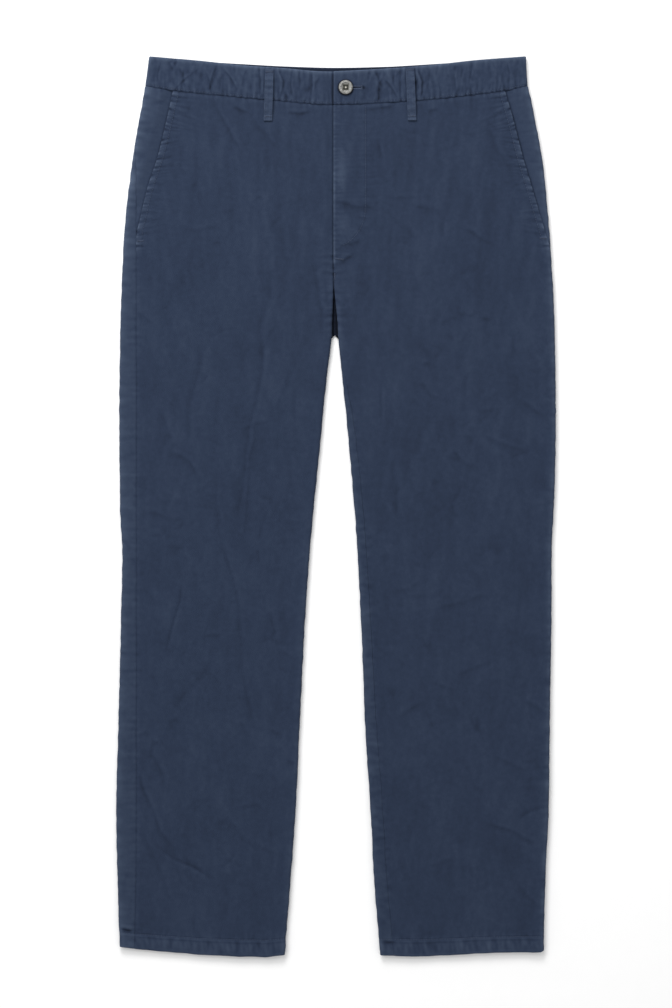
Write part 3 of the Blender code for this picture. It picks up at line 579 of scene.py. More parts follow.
def crease_relief(x, down, creases, end_fade=24.0):
    """Height of the creases, and how pale or dark they make the cloth: paler on the lip, where dye rubs
    off, and darker in the valley, partly as dye that is kept and partly as painted shade.
    """
    relief, wear_and_shade = np.zeros(x.shape), np.zeros(x.shape)
    for number, crease in enumerate(creases):
        points = np.array(crease.path, float)
        reach = 3.5 * crease.width + 5.0
        low, high = points.min(0) - reach, points.max(0) + reach
        near = (x > low[0]) & (x < high[0]) & (down > low[1]) & (down < high[1])
        if not near.any():
            continue
        px, pd = x[near], down[near]
        away, share = near_path(px, pd, crease.path)
        away = away + noise(px, pd, cell=24.0, seed=300 + number)
        away += 0.3 * noise(px, pd, cell=8.0, seed=400 + number)
        length = np.linalg.norm(np.diff(points, axis=0), axis=1).sum()
        fade = min(0.35, end_fade / length)
        ends = 0.1 + 0.9 * smoothstep(share / fade) * smoothstep((1.0 - share) / fade)
        beyond = np.minimum(*(np.hypot(px - end[0], pd - end[1]) for end in (points[0], points[-1])))
        past_end = np.where((share <= 0.001) | (share >= 0.999), beyond, 0.0)
        uneven = np.maximum(0.2, 1.0 + 0.4 * noise(px, pd, cell=22.0, seed=500 + number))
        depth = CREASE_DEPTH * crease.depth * ends * uneven * np.exp(-((past_end / 6.0) ** 2))
        valley, ridge = fold(away, CREASE_WIDTH * crease.width, crease.lip)
        relief[near] += depth * (valley + ridge)
        # Painted shade, and dye that is kept, darken the valley; the lip is paler where dye rubs off.
        wear_and_shade[near] += CREASE_WEAR_AND_SHADE * depth * (valley + 0.4 * ridge)
    return relief, wear_and_shade


def small_creases(count, downs, lean, seed, heading=0.0):
    """Short creases that washed cotton has all over: seeded places, and lengths of 16 to 52 mm."""
    rng = np.random.default_rng(seed)
    rows = []
    for _ in range(count):
        x, down = rng.uniform(-262.0, 262.0), rng.uniform(*downs)
        turn, bend = rng.normal(heading, lean), rng.uniform(-0.6, 0.6)
        half_length = rng.uniform(8.0, 26.0) * min(1.0, (downs[1] - downs[0]) / 100.0)
        steps = [(half_length * way, turn + bend * way) for way in (-1.0, 0.0, 1.0)]
        path = [(x + step * math.cos(angle), down + step * math.sin(angle)) for step, angle in steps]
        lip = rng.choice((-1.0, 1.0)) * rng.uniform(0.3, 0.7)
        rows.append(Crease(rng.uniform(0.1, 0.32), rng.uniform(1.8, 3.6), lip, path))
    return tuple(rows)


def crumple(x, down, seed):
    """The unevenness of washed cloth: soft dents and short ridges, from coarse to fine."""
    bend = 10.0 * noise(x, down, cell=70.0, seed=seed)
    down = down / CRUMPLE_STRETCH
    relief = 0.0 * bend
    for number, (cell, height) in enumerate(CRUMPLE):
        wave = noise(x + bend, down - bend, cell=cell, seed=seed + 2 * number + 1)
        ridge = 0.45 - np.abs(noise(x - bend, down + bend, cell=1.4 * cell, seed=seed + 2 * number + 2))
        relief += height * (wave + 1.1 * ridge)
    return relief


def ripple(along, away, period, decay, seed):
    """Puckers across a line of sewing: uneven waves that lean, and fade away from it."""
    lean = along + 0.4 * away * noise_along(along, cell=30.0, seed=seed + 2)
    wave = noise(lean, 0.1 * away, cell=0.55 * period, seed=seed)
    wave += 0.45 * noise(lean, 0.3 * away, cell=0.3 * period, seed=seed + 1)
    reach = decay * np.maximum(0.3, 1.0 + 0.8 * noise_along(along, cell=1.3 * period, seed=seed + 3))
    return 1.4 * wave * np.exp(-np.maximum(away, 0.0) / reach)


def streaks(x, down):
    """Soft folds that hang from the waist, and fade at the thighs."""
    lean = x + 0.1 * (down - 60.0) * np.tanh(x / 90.0)
    folds = noise(lean, 0.18 * down, cell=13.0, seed=31) + 0.6 * noise(lean, 0.25 * down, cell=7.0, seed=32)
    return 0.1 * folds * (0.35 + 0.65 * plateau(down, width=250.0, soft=160.0))


def groove(away, half_width):
    """1 on a line, and 0 away from it."""
    return np.exp(-((away / half_width) ** 2))


FRONT_CREASES = (HIPS_RIGHT_CREASES + HIPS_LEFT_CREASES + RIGHT_LEG_CREASES + LEFT_LEG_CREASES
                 + small_creases(count=SMALL_CREASES, downs=(62.0, 1052.0), lean=0.8, seed=5))
BAND_SMALL_CREASES = small_creases(
    count=BAND_SMALL, downs=(6.0, 54.0), lean=0.3, seed=6, heading=0.5 * math.pi,
)


# ---------------------------------------------------------------------------- form of the trousers


def centre_x(down):
    return straight(CENTRE_LINE, "down", "x", down)


class Half:
    """One half of the trousers: side is -1 for the wearer's right and +1 for the left."""

    def __init__(self, side):
        self.side = side
        self.name = "right" if side < 0 else "left"
        self.hem = RIGHT_HEM if side < 0 else LEFT_HEM

    def side_edge(self, level):
        """How far out the outline reaches."""
        return curve(SIDES, "down", self.name, level)

    def outer_start(self, level):
        """How far out the rolled side edge starts."""
        uneven = EDGE_UNEVEN * noise_along(level, cell=10.0, seed=81 + self.side)
        return self.side_edge(level) - EDGE_RADIUS + uneven

    def inner_edge(self, level):
        """How far out the inner side of the leg reaches, below the crotch."""
        uneven = EDGE_UNEVEN * noise_along(level, cell=10.0, seed=85 + self.side)
        below = smoothstep((level - CROTCH_DOWN - 10.0) / 20.0)
        return curve(INNER_EDGES, "down", self.name, level) + below * uneven

    def centre_out(self, level):
        """How far out the fly's line lies."""
        return self.side * centre_x(level)

    def front_roll(self, level):
        return straight(INNER_ROLLS, "down", self.name + "_front", level)

    def back_roll(self, level):
        return straight(INNER_ROLLS, "down", self.name + "_back", level)

    def front_start(self, level):
        """How far out the front's rolled inner edge starts, or its flat one above the crotch."""
        lap = LAP * (1.0 - smoothstep((level - LAP_END) / 10.0)) if self.side < 0 else 0.0
        flat = self.centre_out(level) + 0.5 * SEAM_GAP - lap
        turn = np.minimum(self.front_roll(level), 0.5 * HALF_TURN) / EDGE_RADIUS
        share = smoothstep((level - FRONTS_PART) / (CROTCH_DOWN - FRONTS_PART))
        parted = self.centre_out(FRONTS_PART) + 0.5 * SEAM_GAP
        crotch = self.inner_edge(CROTCH_DOWN)
        rolled = parted + share * (crotch - parted) + EDGE_RADIUS * np.sin(turn)
        leg = self.inner_edge(level) + EDGE_RADIUS
        return np.where(level <= FRONTS_PART, flat, np.where(level < CROTCH_DOWN, rolled, leg))

    def back_start(self, level):
        """How far out the back's rolled inner edge starts."""
        flat = self.side * CENTRE_LINE[-1].x + 0.5 * SEAM_GAP
        return np.where(level < CROTCH_DOWN, flat, self.inner_edge(level) + EDGE_RADIUS)

    def side_seam(self, level):
        """Place of the side seam, as seen from the front."""
        if self.side < 0:
            return straight(RIGHT_SIDE_SEAM, "down", "place", level)
        return self.outer_start(level) + LEFT_SIDE_REACH

    def pocket_mouth(self, level):
        """Place of the front's edge at the pocket."""
        return curve(POCKET_MOUTHS, "down", self.name, level)

    def down(self, level, out):
        """Distance down of a row at some distance out: rows bend to the waist seam and the hem."""
        x = self.side * out
        waist = waist_seam(x) - PANEL_TOP
        hem = curve(self.hem, "x", "down", x) - PANEL_HEM + EDGE_UNEVEN * noise_along(x, cell=16.0, seed=88)
        to_waist = np.maximum(0.0, 1.0 - (level - PANEL_TOP) / WAIST_FADE) ** 2
        to_hem = np.maximum(0.0, 1.0 - (PANEL_HEM - level) / HEM_FADE)
        return level + waist * to_waist + hem * to_hem

    def level_at(self, x, down):
        """The row that passes through a point."""
        level = np.array(down, float)
        for _ in range(12):
            level = level - (self.down(level, self.side * x) - down)
        return level

    def tube(self, level, place, front):
        """Points and outward directions of the cloth, on the tube that front and back make."""
        level, place = np.broadcast_arrays(level, place)
        start_in = self.front_start(level) if front else self.back_start(level)
        start_out = self.outer_start(level)
        face = 1.0 if front else -1.0
        past = np.maximum(np.maximum(place - start_out, start_in - place), 0.0)
        way = np.where(place > start_out, 1.0, -1.0)
        start = np.where(place > start_out, start_out, start_in)
        turn = past / EDGE_RADIUS
        rolled = (past > 0.0) & (turn <= math.pi)
        turned = turn > math.pi
        out = np.where(rolled, start + way * EDGE_RADIUS * np.sin(turn), place)
        out = np.where(turned, start - way * (past - HALF_TURN), out)
        across = np.where(rolled, way * np.sin(turn), 0.0)
        up = np.where(rolled, face * np.cos(turn), np.where(turned, -face, face))
        flat = front_height(level)
        parted = smoothstep((level - FRONTS_PART) / (FRONTS_ROLLED - FRONTS_PART))
        inner = 1.0 - parted * (1.0 - smoothstep((out - start_in) / EDGE_BLEND))
        outer = smoothstep((start_out - out) / EDGE_BLEND)
        edge = 2.0 * EDGE_RADIUS
        top = edge + np.minimum(inner, outer) * (flat - edge)
        edge_top = np.where(way > 0, edge, edge + (1.0 - parted) * (flat - edge)) if front else edge
        on_top = (past <= 0.0) if front else turned
        height = np.where(rolled, edge_top * 0.5 * (1.0 + up), np.where(on_top, top, 0.0))
        down = self.down(level, out)
        points = np.stack([self.side * out, down, height], -1)
        directions = np.stack([self.side * across, np.zeros(points.shape[:2]), up], -1)
        return points, directions

    def grid(self, rows, places, front):
        """Level, points, directions, x and distance down of a grid of places on the tube."""
        level = np.broadcast_to(rows[:, None], places.shape)
        points, directions = self.tube(level, places, front)
        return level, points, directions, points[..., 0], points[..., 1]


HALVES = (Half(-1), Half(1))


# ---------------------------------------------------------------------------- meshes


def world(points):
    """From (X, down, height) in millimetres to metres."""
    points = np.asarray(points, float)
    return np.stack([points[..., 0], CENTRE_DOWN - points[..., 1], points[..., 2]], -1) * MM


def add_object(name, data):
    """A new object in the scene."""
    obj = bpy.data.objects.new(name, data)
    bpy.context.scene.collection.objects.link(obj)
    return obj


def mesh_of(builder, name):
    """The mesh of a finished bmesh."""
    mesh = bpy.data.meshes.new(name)
    builder.to_mesh(mesh)
    builder.free()
    return mesh


def mesh_object(name, points, faces, grain, wear_and_shade):
    """A smooth-shaded object from points in metres and groups of faces with equal corners."""
    mesh = bpy.data.meshes.new(name)
    mesh.vertices.add(len(points))
    mesh.vertices.foreach_set("co", points.astype(np.float32).ravel())
    sizes = np.concatenate([np.full(len(group), group.shape[1]) for group in faces])
    mesh.loops.add(int(sizes.sum()))
    mesh.loops.foreach_set("vertex_index", np.concatenate([g.ravel() for g in faces]).astype(np.int32))
    mesh.polygons.add(len(sizes))
    starts = np.concatenate([[0], np.cumsum(sizes)[:-1]])
    mesh.polygons.foreach_set("loop_start", starts.astype(np.int32))
    mesh.update(calc_edges=True)
    mesh.validate()
    mesh.shade_smooth()
    layer = mesh.attributes.new("grain", "FLOAT_VECTOR", "POINT")
    layer.data.foreach_set("vector", grain.astype(np.float32).ravel())
    # How pale or dark the cloth is painted: above 0 dye rubbed off, below 0 dye kept and painted shade.
    layer = mesh.attributes.new("wear_and_shade", "FLOAT", "POINT")
    layer.data.foreach_set("value", wear_and_shade.astype(np.float32).ravel())
    return add_object(name, mesh)


def thinned(count, step):
    """Every step-th index from 0 to count - 1, with the last one."""
    return np.array(sorted({*range(0, count - 1, step), count - 1}))


def quads(grid):
    """Faces of a grid of indices."""
    return np.stack([grid[:-1, :-1], grid[:-1, 1:], grid[1:, 1:], grid[1:, :-1]], -1).reshape(-1, 4)


def border(rows, columns):
    """Indices (row, column) once around a grid's edge."""
    top = [(0, j) for j in range(columns - 1)]
    right = [(i, columns - 1) for i in range(rows - 1)]
    bottom = [(rows - 1, j) for j in range(columns - 1, 0, -1)]
    left = [(i, 0) for i in range(rows - 1, 0, -1)]
    return np.array(top + right + bottom + left)


class Surface:
    """The outer face of a piece of cloth: points at rows, and at places along each row."""

    def __init__(self, rows, places, points, directions, wear_and_shade, inside_wear_and_shade=None):
        self.rows, self.places = rows, places
        self.points, self.directions, self.wear_and_shade = points, directions, wear_and_shade
        self.inside_wear_and_shade = wear_and_shade if inside_wear_and_shade is None else inside_wear_and_shade

    def at(self, row, place):
        """Points and directions at rows and places between the grid's own."""
        row, place = np.broadcast_arrays(np.asarray(row, float), np.asarray(place, float))
        below = np.clip(np.searchsorted(self.rows, row) - 1, 0, len(self.rows) - 2)
        share = (row - self.rows[below]) / (self.rows[below + 1] - self.rows[below])

        def along(k):
            line, each = self.places[k], np.arange(len(k))
            j = np.clip((line <= place[:, None]).sum(1) - 1, 0, line.shape[1] - 2)
            part = (place - line[each, j]) / (line[each, j + 1] - line[each, j])
            return [
                (1 - part[:, None]) * grid[k, j] + part[:, None] * grid[k, j + 1]
                for grid in (self.points, self.directions)
            ]

        low, high = along(below), along(below + 1)
        return [(1 - share[:, None]) * a + share[:, None] * b for a, b in zip(low, high)]

    def cut(self, rim):
        """Flat width, length and area of what shows, with its rounded rim, in metres."""
        widths = self.places[:, -1] - self.places[:, 0] + 2.0 * rim
        length = self.rows[-1] - self.rows[0] + 2.0 * rim
        return widths.max() * MM, length * MM, widths.mean() * length * MM * MM


RIM_RINGS = 3


def shell(name, surface, wall, step):
    """A closed wall of cloth: a fine outer face, an inner face of every step-th point, and a round rim."""
    outer, directions = surface.points, surface.directions
    rows, columns = outer.shape[:2]
    inner = outer - np.broadcast_to(wall, (rows, columns))[..., None] * directions
    keep_rows, keep_columns = thinned(rows, step), thinned(columns, step)
    coarse = inner[np.ix_(keep_rows, keep_columns)]
    index = np.arange(rows * columns).reshape(rows, columns)
    inner_index = index.size + np.arange(coarse.shape[0] * coarse.shape[1]).reshape(coarse.shape[:2])
    points = [outer.reshape(-1, 3), coarse.reshape(-1, 3)]
    pick = [index.ravel(), index[np.ix_(keep_rows, keep_columns)].ravel()]

    ring = border(rows, columns)
    i, j = ring.T
    inward = np.clip(ring, 1, [rows - 2, columns - 2])
    normal = directions[i, j]
    away = outer[i, j] - outer[inward[:, 0], inward[:, 1]]
    away -= normal * (away * normal).sum(-1, keepdims=True)
    away /= np.maximum(np.linalg.norm(away, axis=-1, keepdims=True), 1e-9)
    middle, half = 0.5 * (outer[i, j] + inner[i, j]), 0.5 * (outer[i, j] - inner[i, j])
    radius = np.linalg.norm(half, axis=-1, keepdims=True)
    rings = [index[i, j]]
    for k in range(1, RIM_RINGS + 1):
        angle = math.pi * k / (RIM_RINGS + 1)
        rings.append(sum(len(group) for group in points) + np.arange(len(ring)))
        points.append(middle + math.cos(angle) * half + math.sin(angle) * radius * away)
        pick.append(index[i, j])
    rim = [
        np.stack([low, high, np.roll(high, -1), np.roll(low, -1)], -1)
        for low, high in zip(rings, rings[1:])
    ]

    row_at = {row: k for k, row in enumerate(keep_rows)}
    column_at = {column: k for k, column in enumerate(keep_columns)}
    stops = [k for k, (a, b) in enumerate(ring) if a in row_at and b in column_at]
    fans = []
    for start, end in zip(stops, stops[1:] + [len(ring)]):
        here, there = ring[start], ring[end % len(ring)]
        a = inner_index[row_at[here[0]], column_at[here[1]]]
        b = inner_index[row_at[there[0]], column_at[there[1]]]
        half_way = (start + end) // 2
        for k in range(start, end):
            fans.append((rings[-1][k], a if k < half_way else b, rings[-1][(k + 1) % len(ring)]))
        fans.append((rings[-1][half_way], a, b))
    faces = [quads(index), quads(inner_index)[:, ::-1], np.concatenate(rim), np.array(fans)]

    points = world(np.concatenate(points))
    points[:, 2] = np.maximum(points[:, 2], 0.0)
    grid = points[index]
    turn = np.cross(grid[:-1, 1:] - grid[:-1, :-1], grid[1:, :-1] - grid[:-1, :-1])
    facing = directions[:-1, :-1] * [1, -1, 1]
    if (turn * facing).sum() < 0.0:
        faces = [group[:, ::-1] for group in faces]
    pick = np.concatenate(pick)
    wear_and_shade = surface.wear_and_shade.ravel()[pick]
    wear_and_shade[inner_index] = surface.inside_wear_and_shade[np.ix_(keep_rows, keep_columns)]
    grain = np.stack([surface.places, np.broadcast_to(surface.rows[:, None], (rows, columns))], -1)
    grain = np.concatenate([grain, np.zeros((rows, columns, 1))], -1).reshape(-1, 3)[pick] * MM
    return mesh_object(name, points, faces, grain, wear_and_shade)


def graded(start, end, low_reach, high_reach, fine, coarse, fixed=()):
    """Steps from start to end: fine near both ends, coarse between them, and at fixed ones."""
    low = np.arange(start, start + low_reach, fine)
    high = end - np.arange(0.0, high_reach, fine)[::-1]
    count = max(1, round((high[0] - low[-1]) / coarse))
    between = np.linspace(low[-1], high[0], count + 1)[1:-1]
    steps = np.concatenate([low, between, high])
    kept = [step for step in steps if all(abs(step - stop) > 0.4 for stop in fixed)]
    return np.sort(np.concatenate([kept, fixed]))


def spread(start, end, fine, reach, middle):
    """Places across a panel, row by row: fine steps near both ends and wider ones between."""
    steps = np.arange(0.0, reach, fine)
    scale = np.minimum(1.0, 0.4 * (end - start) / steps[-1])[:, None]
    low = start[:, None] + scale * steps
    high = end[:, None] - scale * steps[::-1]
    shares = np.linspace(0.0, 1.0, middle + 2)[1:-1]
    between = low[:, -1:] + shares * (high[:, :1] - low[:, -1:])
    return np.concatenate([low, between, high], axis=1)


# ---------------------------------------------------------------------------- relief of the cloth


def plateau(away, width, soft):
    """1 within a width of an edge, and 0 beyond it."""
    return smoothstep((width - away) / soft + 0.5)


def not_below(relief, least):
    """Relief that levels out softly above its least value."""
    return least + 0.25 * np.log1p(np.exp(np.minimum((relief - least) / 0.25, 40.0)))


def crests(relief):
    """How far the cloth stands above or sinks below its surroundings, near and wide: paler on crests, where
    its dye rubs off, and darker in hollows, partly as dye that is kept and partly as painted shade.
    """
    blurred, total = relief, 0.0
    rows, columns = relief.shape
    for step in range(8):
        padded = np.pad(blurred, 2, mode="edge")
        shifts = ((2, 2), (0, 2), (4, 2), (2, 0), (2, 4))
        blurred = sum(padded[i : i + rows, j : j + columns] for i, j in shifts) / len(shifts)
        if step in (1, 7):
            total += relief - blurred
    return CREST_WEAR_AND_SHADE * np.clip(total, -0.7, 0.5)


def hem_relief(x, to_hem):
    """The hem's twisted puckers, its stitched groove, and the ripples above it."""
    inside = np.sin(math.pi * np.clip(to_hem / HEM_DEPTH, 0.0, 1.0)) ** 0.6
    slant = x + 0.15 * to_hem
    rope = noise(slant, 0.2 * to_hem, cell=13.0, seed=41)
    rope += 0.5 * noise(slant, 0.4 * to_hem, cell=5.0, seed=40)
    above = np.maximum(to_hem - HEM_DEPTH, 0.0)
    ripples = 0.15 * ripple(x, above, period=8.0, decay=5.0, seed=42) * (to_hem > HEM_DEPTH)
    return 0.6 * rope * inside + ripples - 0.28 * groove(to_hem - HEM_DEPTH, 1.0)


def hem_wear(to_hem):
    """The hem is paler than the leg, most of all along its edge."""
    stitched = 0.3 * groove(to_hem - HEM_DEPTH + 0.6, 0.9) - 0.6 * groove(to_hem - HEM_DEPTH + 3.4, 1.3)
    return 0.42 * plateau(to_hem, width=HEM_DEPTH, soft=2.0) + 0.4 * groove(to_hem, 1.8) + stitched


def waist_relief(x, to_seam):
    """Puckers below the waist seam, where the cloth dips into it."""
    puckers = 0.2 * ripple(x, to_seam, period=9.0, decay=9.0, seed=43)
    return puckers - 0.5 * np.exp(-np.maximum(to_seam, 0.0) / 1.4)


def seam_wear_and_shade(away, half_width=1.1):
    """A seam's dark line, painted as shade in its groove, and the pale one beside it."""
    return 0.1 * groove(away - 3.0, 1.6) - 0.05 * groove(away, half_width)


def hem_extra(to_hem):
    """The turned-up hem's extra thickness."""
    return HEM_EXTRA * plateau(to_hem, width=HEM_DEPTH, soft=1.5)


def side_relief(half, level, away, reach=4.0):
    """Puckers beside a side seam, below the pocket."""
    below = smoothstep((level - SIDE_PUCKERS_START) / 25.0)
    puckers = 0.13 * ripple(level, away, period=9.0, decay=reach, seed=44 + half.side)
    return below * (puckers - 0.1 * groove(away, 1.2))


def edge_wear(half, level, place, front):
    """Pale specks along a half's folded edges, and fewer of them down the leg."""

    def near_fold(past, reach):
        return np.exp(-np.maximum(np.maximum(-past, past - HALF_TURN), 0.0) / reach)

    specks = 1.0 + 0.9 * noise(level, 0.3 * place, cell=6.0, seed=28)
    specks += 0.6 * noise(level, 0.1 * place, cell=30.0, seed=29)
    down_leg = 1.0 - plateau(level, width=230.0, soft=60.0)
    hips = EDGE_WEAR[half.name] * (1.0 - EDGE_FADE[half.name] * down_leg)
    legs = INNER_WEAR * smoothstep((level - INNER_WEAR_START[half.name]) / 40.0)
    start = half.front_start(level) if front else half.back_start(level)
    outer = near_fold(place - half.outer_start(level), EDGE_REACH[half.name])
    return specks * (hips * outer + legs * near_fold(start - place, 3.0))


def inseam_relief(half, level, away, reach=4.0):
    """Puckers beside an inner seam, below the crotch."""
    below = smoothstep((level - CROTCH_DOWN) / 30.0)
    return below * 0.15 * ripple(level, away, period=10.0, decay=reach, seed=47 + half.side)


def shared_relief(half, level, x, down):
    """The relief that runs on across the seams, and how pale or dark it makes the cloth, with painted shade
    in the creases and the waist seam.
    """
    relief, wear_and_shade = crease_relief(x, down, FRONT_CREASES)
    relief += crumple(x, down, seed=11)
    relief += streaks(x, down)
    relief += waist_relief(x, level - PANEL_TOP)
    relief += hem_relief(x, PANEL_HEM - level)
    to_fly = np.abs(x - centre_x(level))
    crotch = smoothstep((level - 222.0) / 20.0) * (1.0 - smoothstep((level - 330.0) / 30.0))
    puckers = 0.3 * ripple(level, to_fly, period=9.0, decay=9.0, seed=52)
    relief += crotch * (puckers - 0.5 * np.exp(-to_fly / 2.5))
    wear_and_shade += hem_wear(PANEL_HEM - level)
    # Painted shade in the waist seam's groove, and a pale line beside it.
    wear_and_shade += seam_wear_and_shade(level - PANEL_TOP, half_width=1.4)
    return relief, wear_and_shade


def displaced(points, directions, relief, under):
    """Points moved by the relief of the upper side, or the shallower one of the underside."""
    up = directions[..., 2]
    above = smoothstep(up + 0.5)
    below = 1.0 - smoothstep((up + 1.0) / 0.5)
    moved = points + directions * (relief * above + under * below)[..., None]
    moved[..., 2] = np.maximum(moved[..., 2], 0.0)
    return moved


def under_relief(x, down, seed, creases=0.0):
    """Relief of the underside, which only sinks, so that it rests flat."""
    return np.clip(creases + UNDER_CRUMPLE * crumple(x, down, seed=seed) - UNDER_SINK, -UNDER_DEEPEST, 0.0)


# ---------------------------------------------------------------------------- panels


PANEL_RIM = 0.5 * CLOTH
PANEL_INSET = 0.6 * PANEL_RIM  # of a panel's last places from its edge, which the round rim fills


def fly_share(level):
    """1 along the fly, and 0 below its end."""
    return 1.0 - smoothstep((level - 0.9 * FLY_END) / (0.1 * FLY_END))


def front_surface(half):
    """A front panel, from the fly or inner edge to the pocket mouth or side seam."""
    rows = graded(PANEL_TOP + SEAM_GAP + PANEL_RIM, PANEL_HEM - PANEL_RIM,
                  low_reach=POCKET_END + 4.0 - PANEL_TOP, high_reach=24.0, fine=1.15, coarse=1.95,
                  fixed=(POCKET_END - 0.2, POCKET_END + 0.2))
    inner_end = half.front_start(rows) - half.front_roll(rows) + PANEL_INSET
    outer_end = np.where(rows <= POCKET_END, half.pocket_mouth(rows),
                         half.side_seam(rows) - 0.5 * SEAM_GAP) - PANEL_INSET
    places = spread(inner_end, outer_end, fine=0.95, reach=12.0, middle=118)
    level, points, directions, x, down = half.grid(rows, places, True)

    relief, wear_and_shade = shared_relief(half, level, x, down)
    to_mouth = half.pocket_mouth(level) - places
    at_pocket = 1.0 - smoothstep((level - POCKET_END + 8.0) / 12.0)
    puckers = ripple(level, to_mouth, period=7.0, decay=13.0, seed=21)
    relief += at_pocket * (0.4 * puckers + 0.15 * plateau(to_mouth, width=POCKET_STITCH_IN, soft=2.5))
    relief -= at_pocket * 0.1 * groove(to_mouth - POCKET_STITCH_IN, 1.0)
    to_seam = half.side_seam(level) - places
    relief += side_relief(half, level, to_seam)
    wear_and_shade += edge_wear(half, level, places, True)
    from_inseam = places - (half.front_start(level) - half.front_roll(level))
    relief += inseam_relief(half, level, from_inseam)
    to_fly = places - half.centre_out(level)
    worn_mouth = 0.28 * plateau(to_mouth, width=5.0, soft=6.0) + 0.5 * groove(to_mouth, 1.6)
    wear_and_shade += at_pocket * worn_mouth * (1.0 + 1.2 * puckers)
    # Painted shade in the side seam's groove, below the pocket.
    wear_and_shade += (1.0 - at_pocket) * seam_wear_and_shade(to_seam)
    if half.side < 0:
        shade = plateau(level, width=FLY_END + 40.0, soft=30.0) * groove(to_fly - 0.5, 1.1)
        relief -= 0.2 * shade
        wear_and_shade -= 0.5 * shade
        lap = -smoothstep((LAP - to_fly) / LAP)
    else:
        away, share = near_path(x, down, FLY_STITCH)
        reach = smoothstep((FLY_END + 6.0 - level) / 10.0)
        along = share * (FLY_END - PANEL_TOP)
        relief += reach * (0.12 * plateau(away, width=0.0, soft=3.0) - 0.1 * groove(away, 1.0))
        relief += reach * 0.1 * ripple(along, np.abs(away), period=8.0, decay=9.0, seed=23)
        relief += reach * 0.2 * ripple(level, to_fly, period=7.0, decay=9.0, seed=24)
        rubbed = 1.0 + 0.7 * noise_along(level, cell=18.0, seed=33)
        wear_and_shade += 1.5 * rubbed * groove(to_fly - 0.9, 1.3) * reach
        for patch in FLY_WORN:
            spot = ((x - patch.x) / patch.half_x) ** 2 + ((down - patch.down) / patch.half_down) ** 2
            wear_and_shade += patch.amount * np.exp(-spot)
            relief += 0.8 * patch.amount * np.exp(-spot)
        lap = 1.0 - smoothstep((to_fly - 0.4 * LAP_WIDTH) / LAP_WIDTH)
    relief = not_below(relief, 2.0 * CLOTH + LEAST_HOLLOW - front_height(level))
    points = displaced(points, directions, relief + hem_extra(PANEL_HEM - level), 0.0 * relief)
    points[..., 2] += LAP_DROP * lap * fly_share(level)
    return Surface(rows, places, points, directions, wear_and_shade + crests(relief))


def in_left_front_leg(level):
    """1 where the left leg's inner seam lies on the front, below the crotch."""
    return smoothstep((level - CROTCH_DOWN - 40.0) / 50.0)


def back_surface(half):
    """A back panel, from the centre back or inner edge, along the surface, to the side seam."""
    rows = graded(PANEL_TOP + SEAM_GAP + PANEL_RIM, PANEL_HEM - PANEL_RIM,
                  low_reach=8.0, high_reach=24.0, fine=1.2, coarse=2.1,
                  fixed=(CROTCH_DOWN - 0.2, CROTCH_DOWN + 0.2))
    inner_end = half.back_start(rows) - half.back_roll(rows) + PANEL_INSET
    seam_reach = half.side_seam(rows) - half.outer_start(rows)
    gap = np.where(seam_reach < 0.0, 0.5 * SEAM_GAP, ROLLED_SEAM_GAP)
    outer_end = half.outer_start(rows) + HALF_TURN - seam_reach - gap - PANEL_INSET
    places = spread(inner_end, outer_end, fine=1.1, reach=38.0, middle=30)
    level, points, directions, x, down = half.grid(rows, places, False)

    relief, wear_and_shade = shared_relief(half, level, x, down)
    to_seam = outer_end[:, None] - places
    relief += side_relief(half, level, to_seam, reach=16.0)
    from_inseam = places - inner_end[:, None]
    relief += 0.7 * inseam_relief(half, level, from_inseam, reach=14.0)
    relief = not_below(relief, 2.0 * CLOTH + LEAST_HOLLOW - front_height(level))
    under = under_relief(x, down, seed=71, creases=crease_relief(x, down, UNDERSIDE_CREASES)[0])
    wear_and_shade += edge_wear(half, level, places, False)
    if half.side < 0:
        wear_and_shade += STRIP_WEAR * plateau(to_seam, width=24.0, soft=6.0)
    else:
        strip = 0.12 + 0.25 * plateau(np.abs(level - 760.0), width=110.0, soft=60.0)
        strip += 0.5 * noise(level, 0.5 * places, cell=6.0, seed=34)
        wear_and_shade += in_left_front_leg(level) * strip * plateau(from_inseam, width=14.0, soft=6.0)
    # Painted shade on the back's inner face, seen in the gap between the fronts near the crotch.
    near_gap = smoothstep((level - 225.0) / 20.0) * smoothstep((CROTCH_DOWN + 6.0 - level) / 10.0)
    inside_wear_and_shade = -3.0 * near_gap * groove(from_inseam, 14.0)
    points = displaced(points, directions, relief, under)
    return Surface(rows, places, points, directions, wear_and_shade + crests(relief), inside_wear_and_shade)


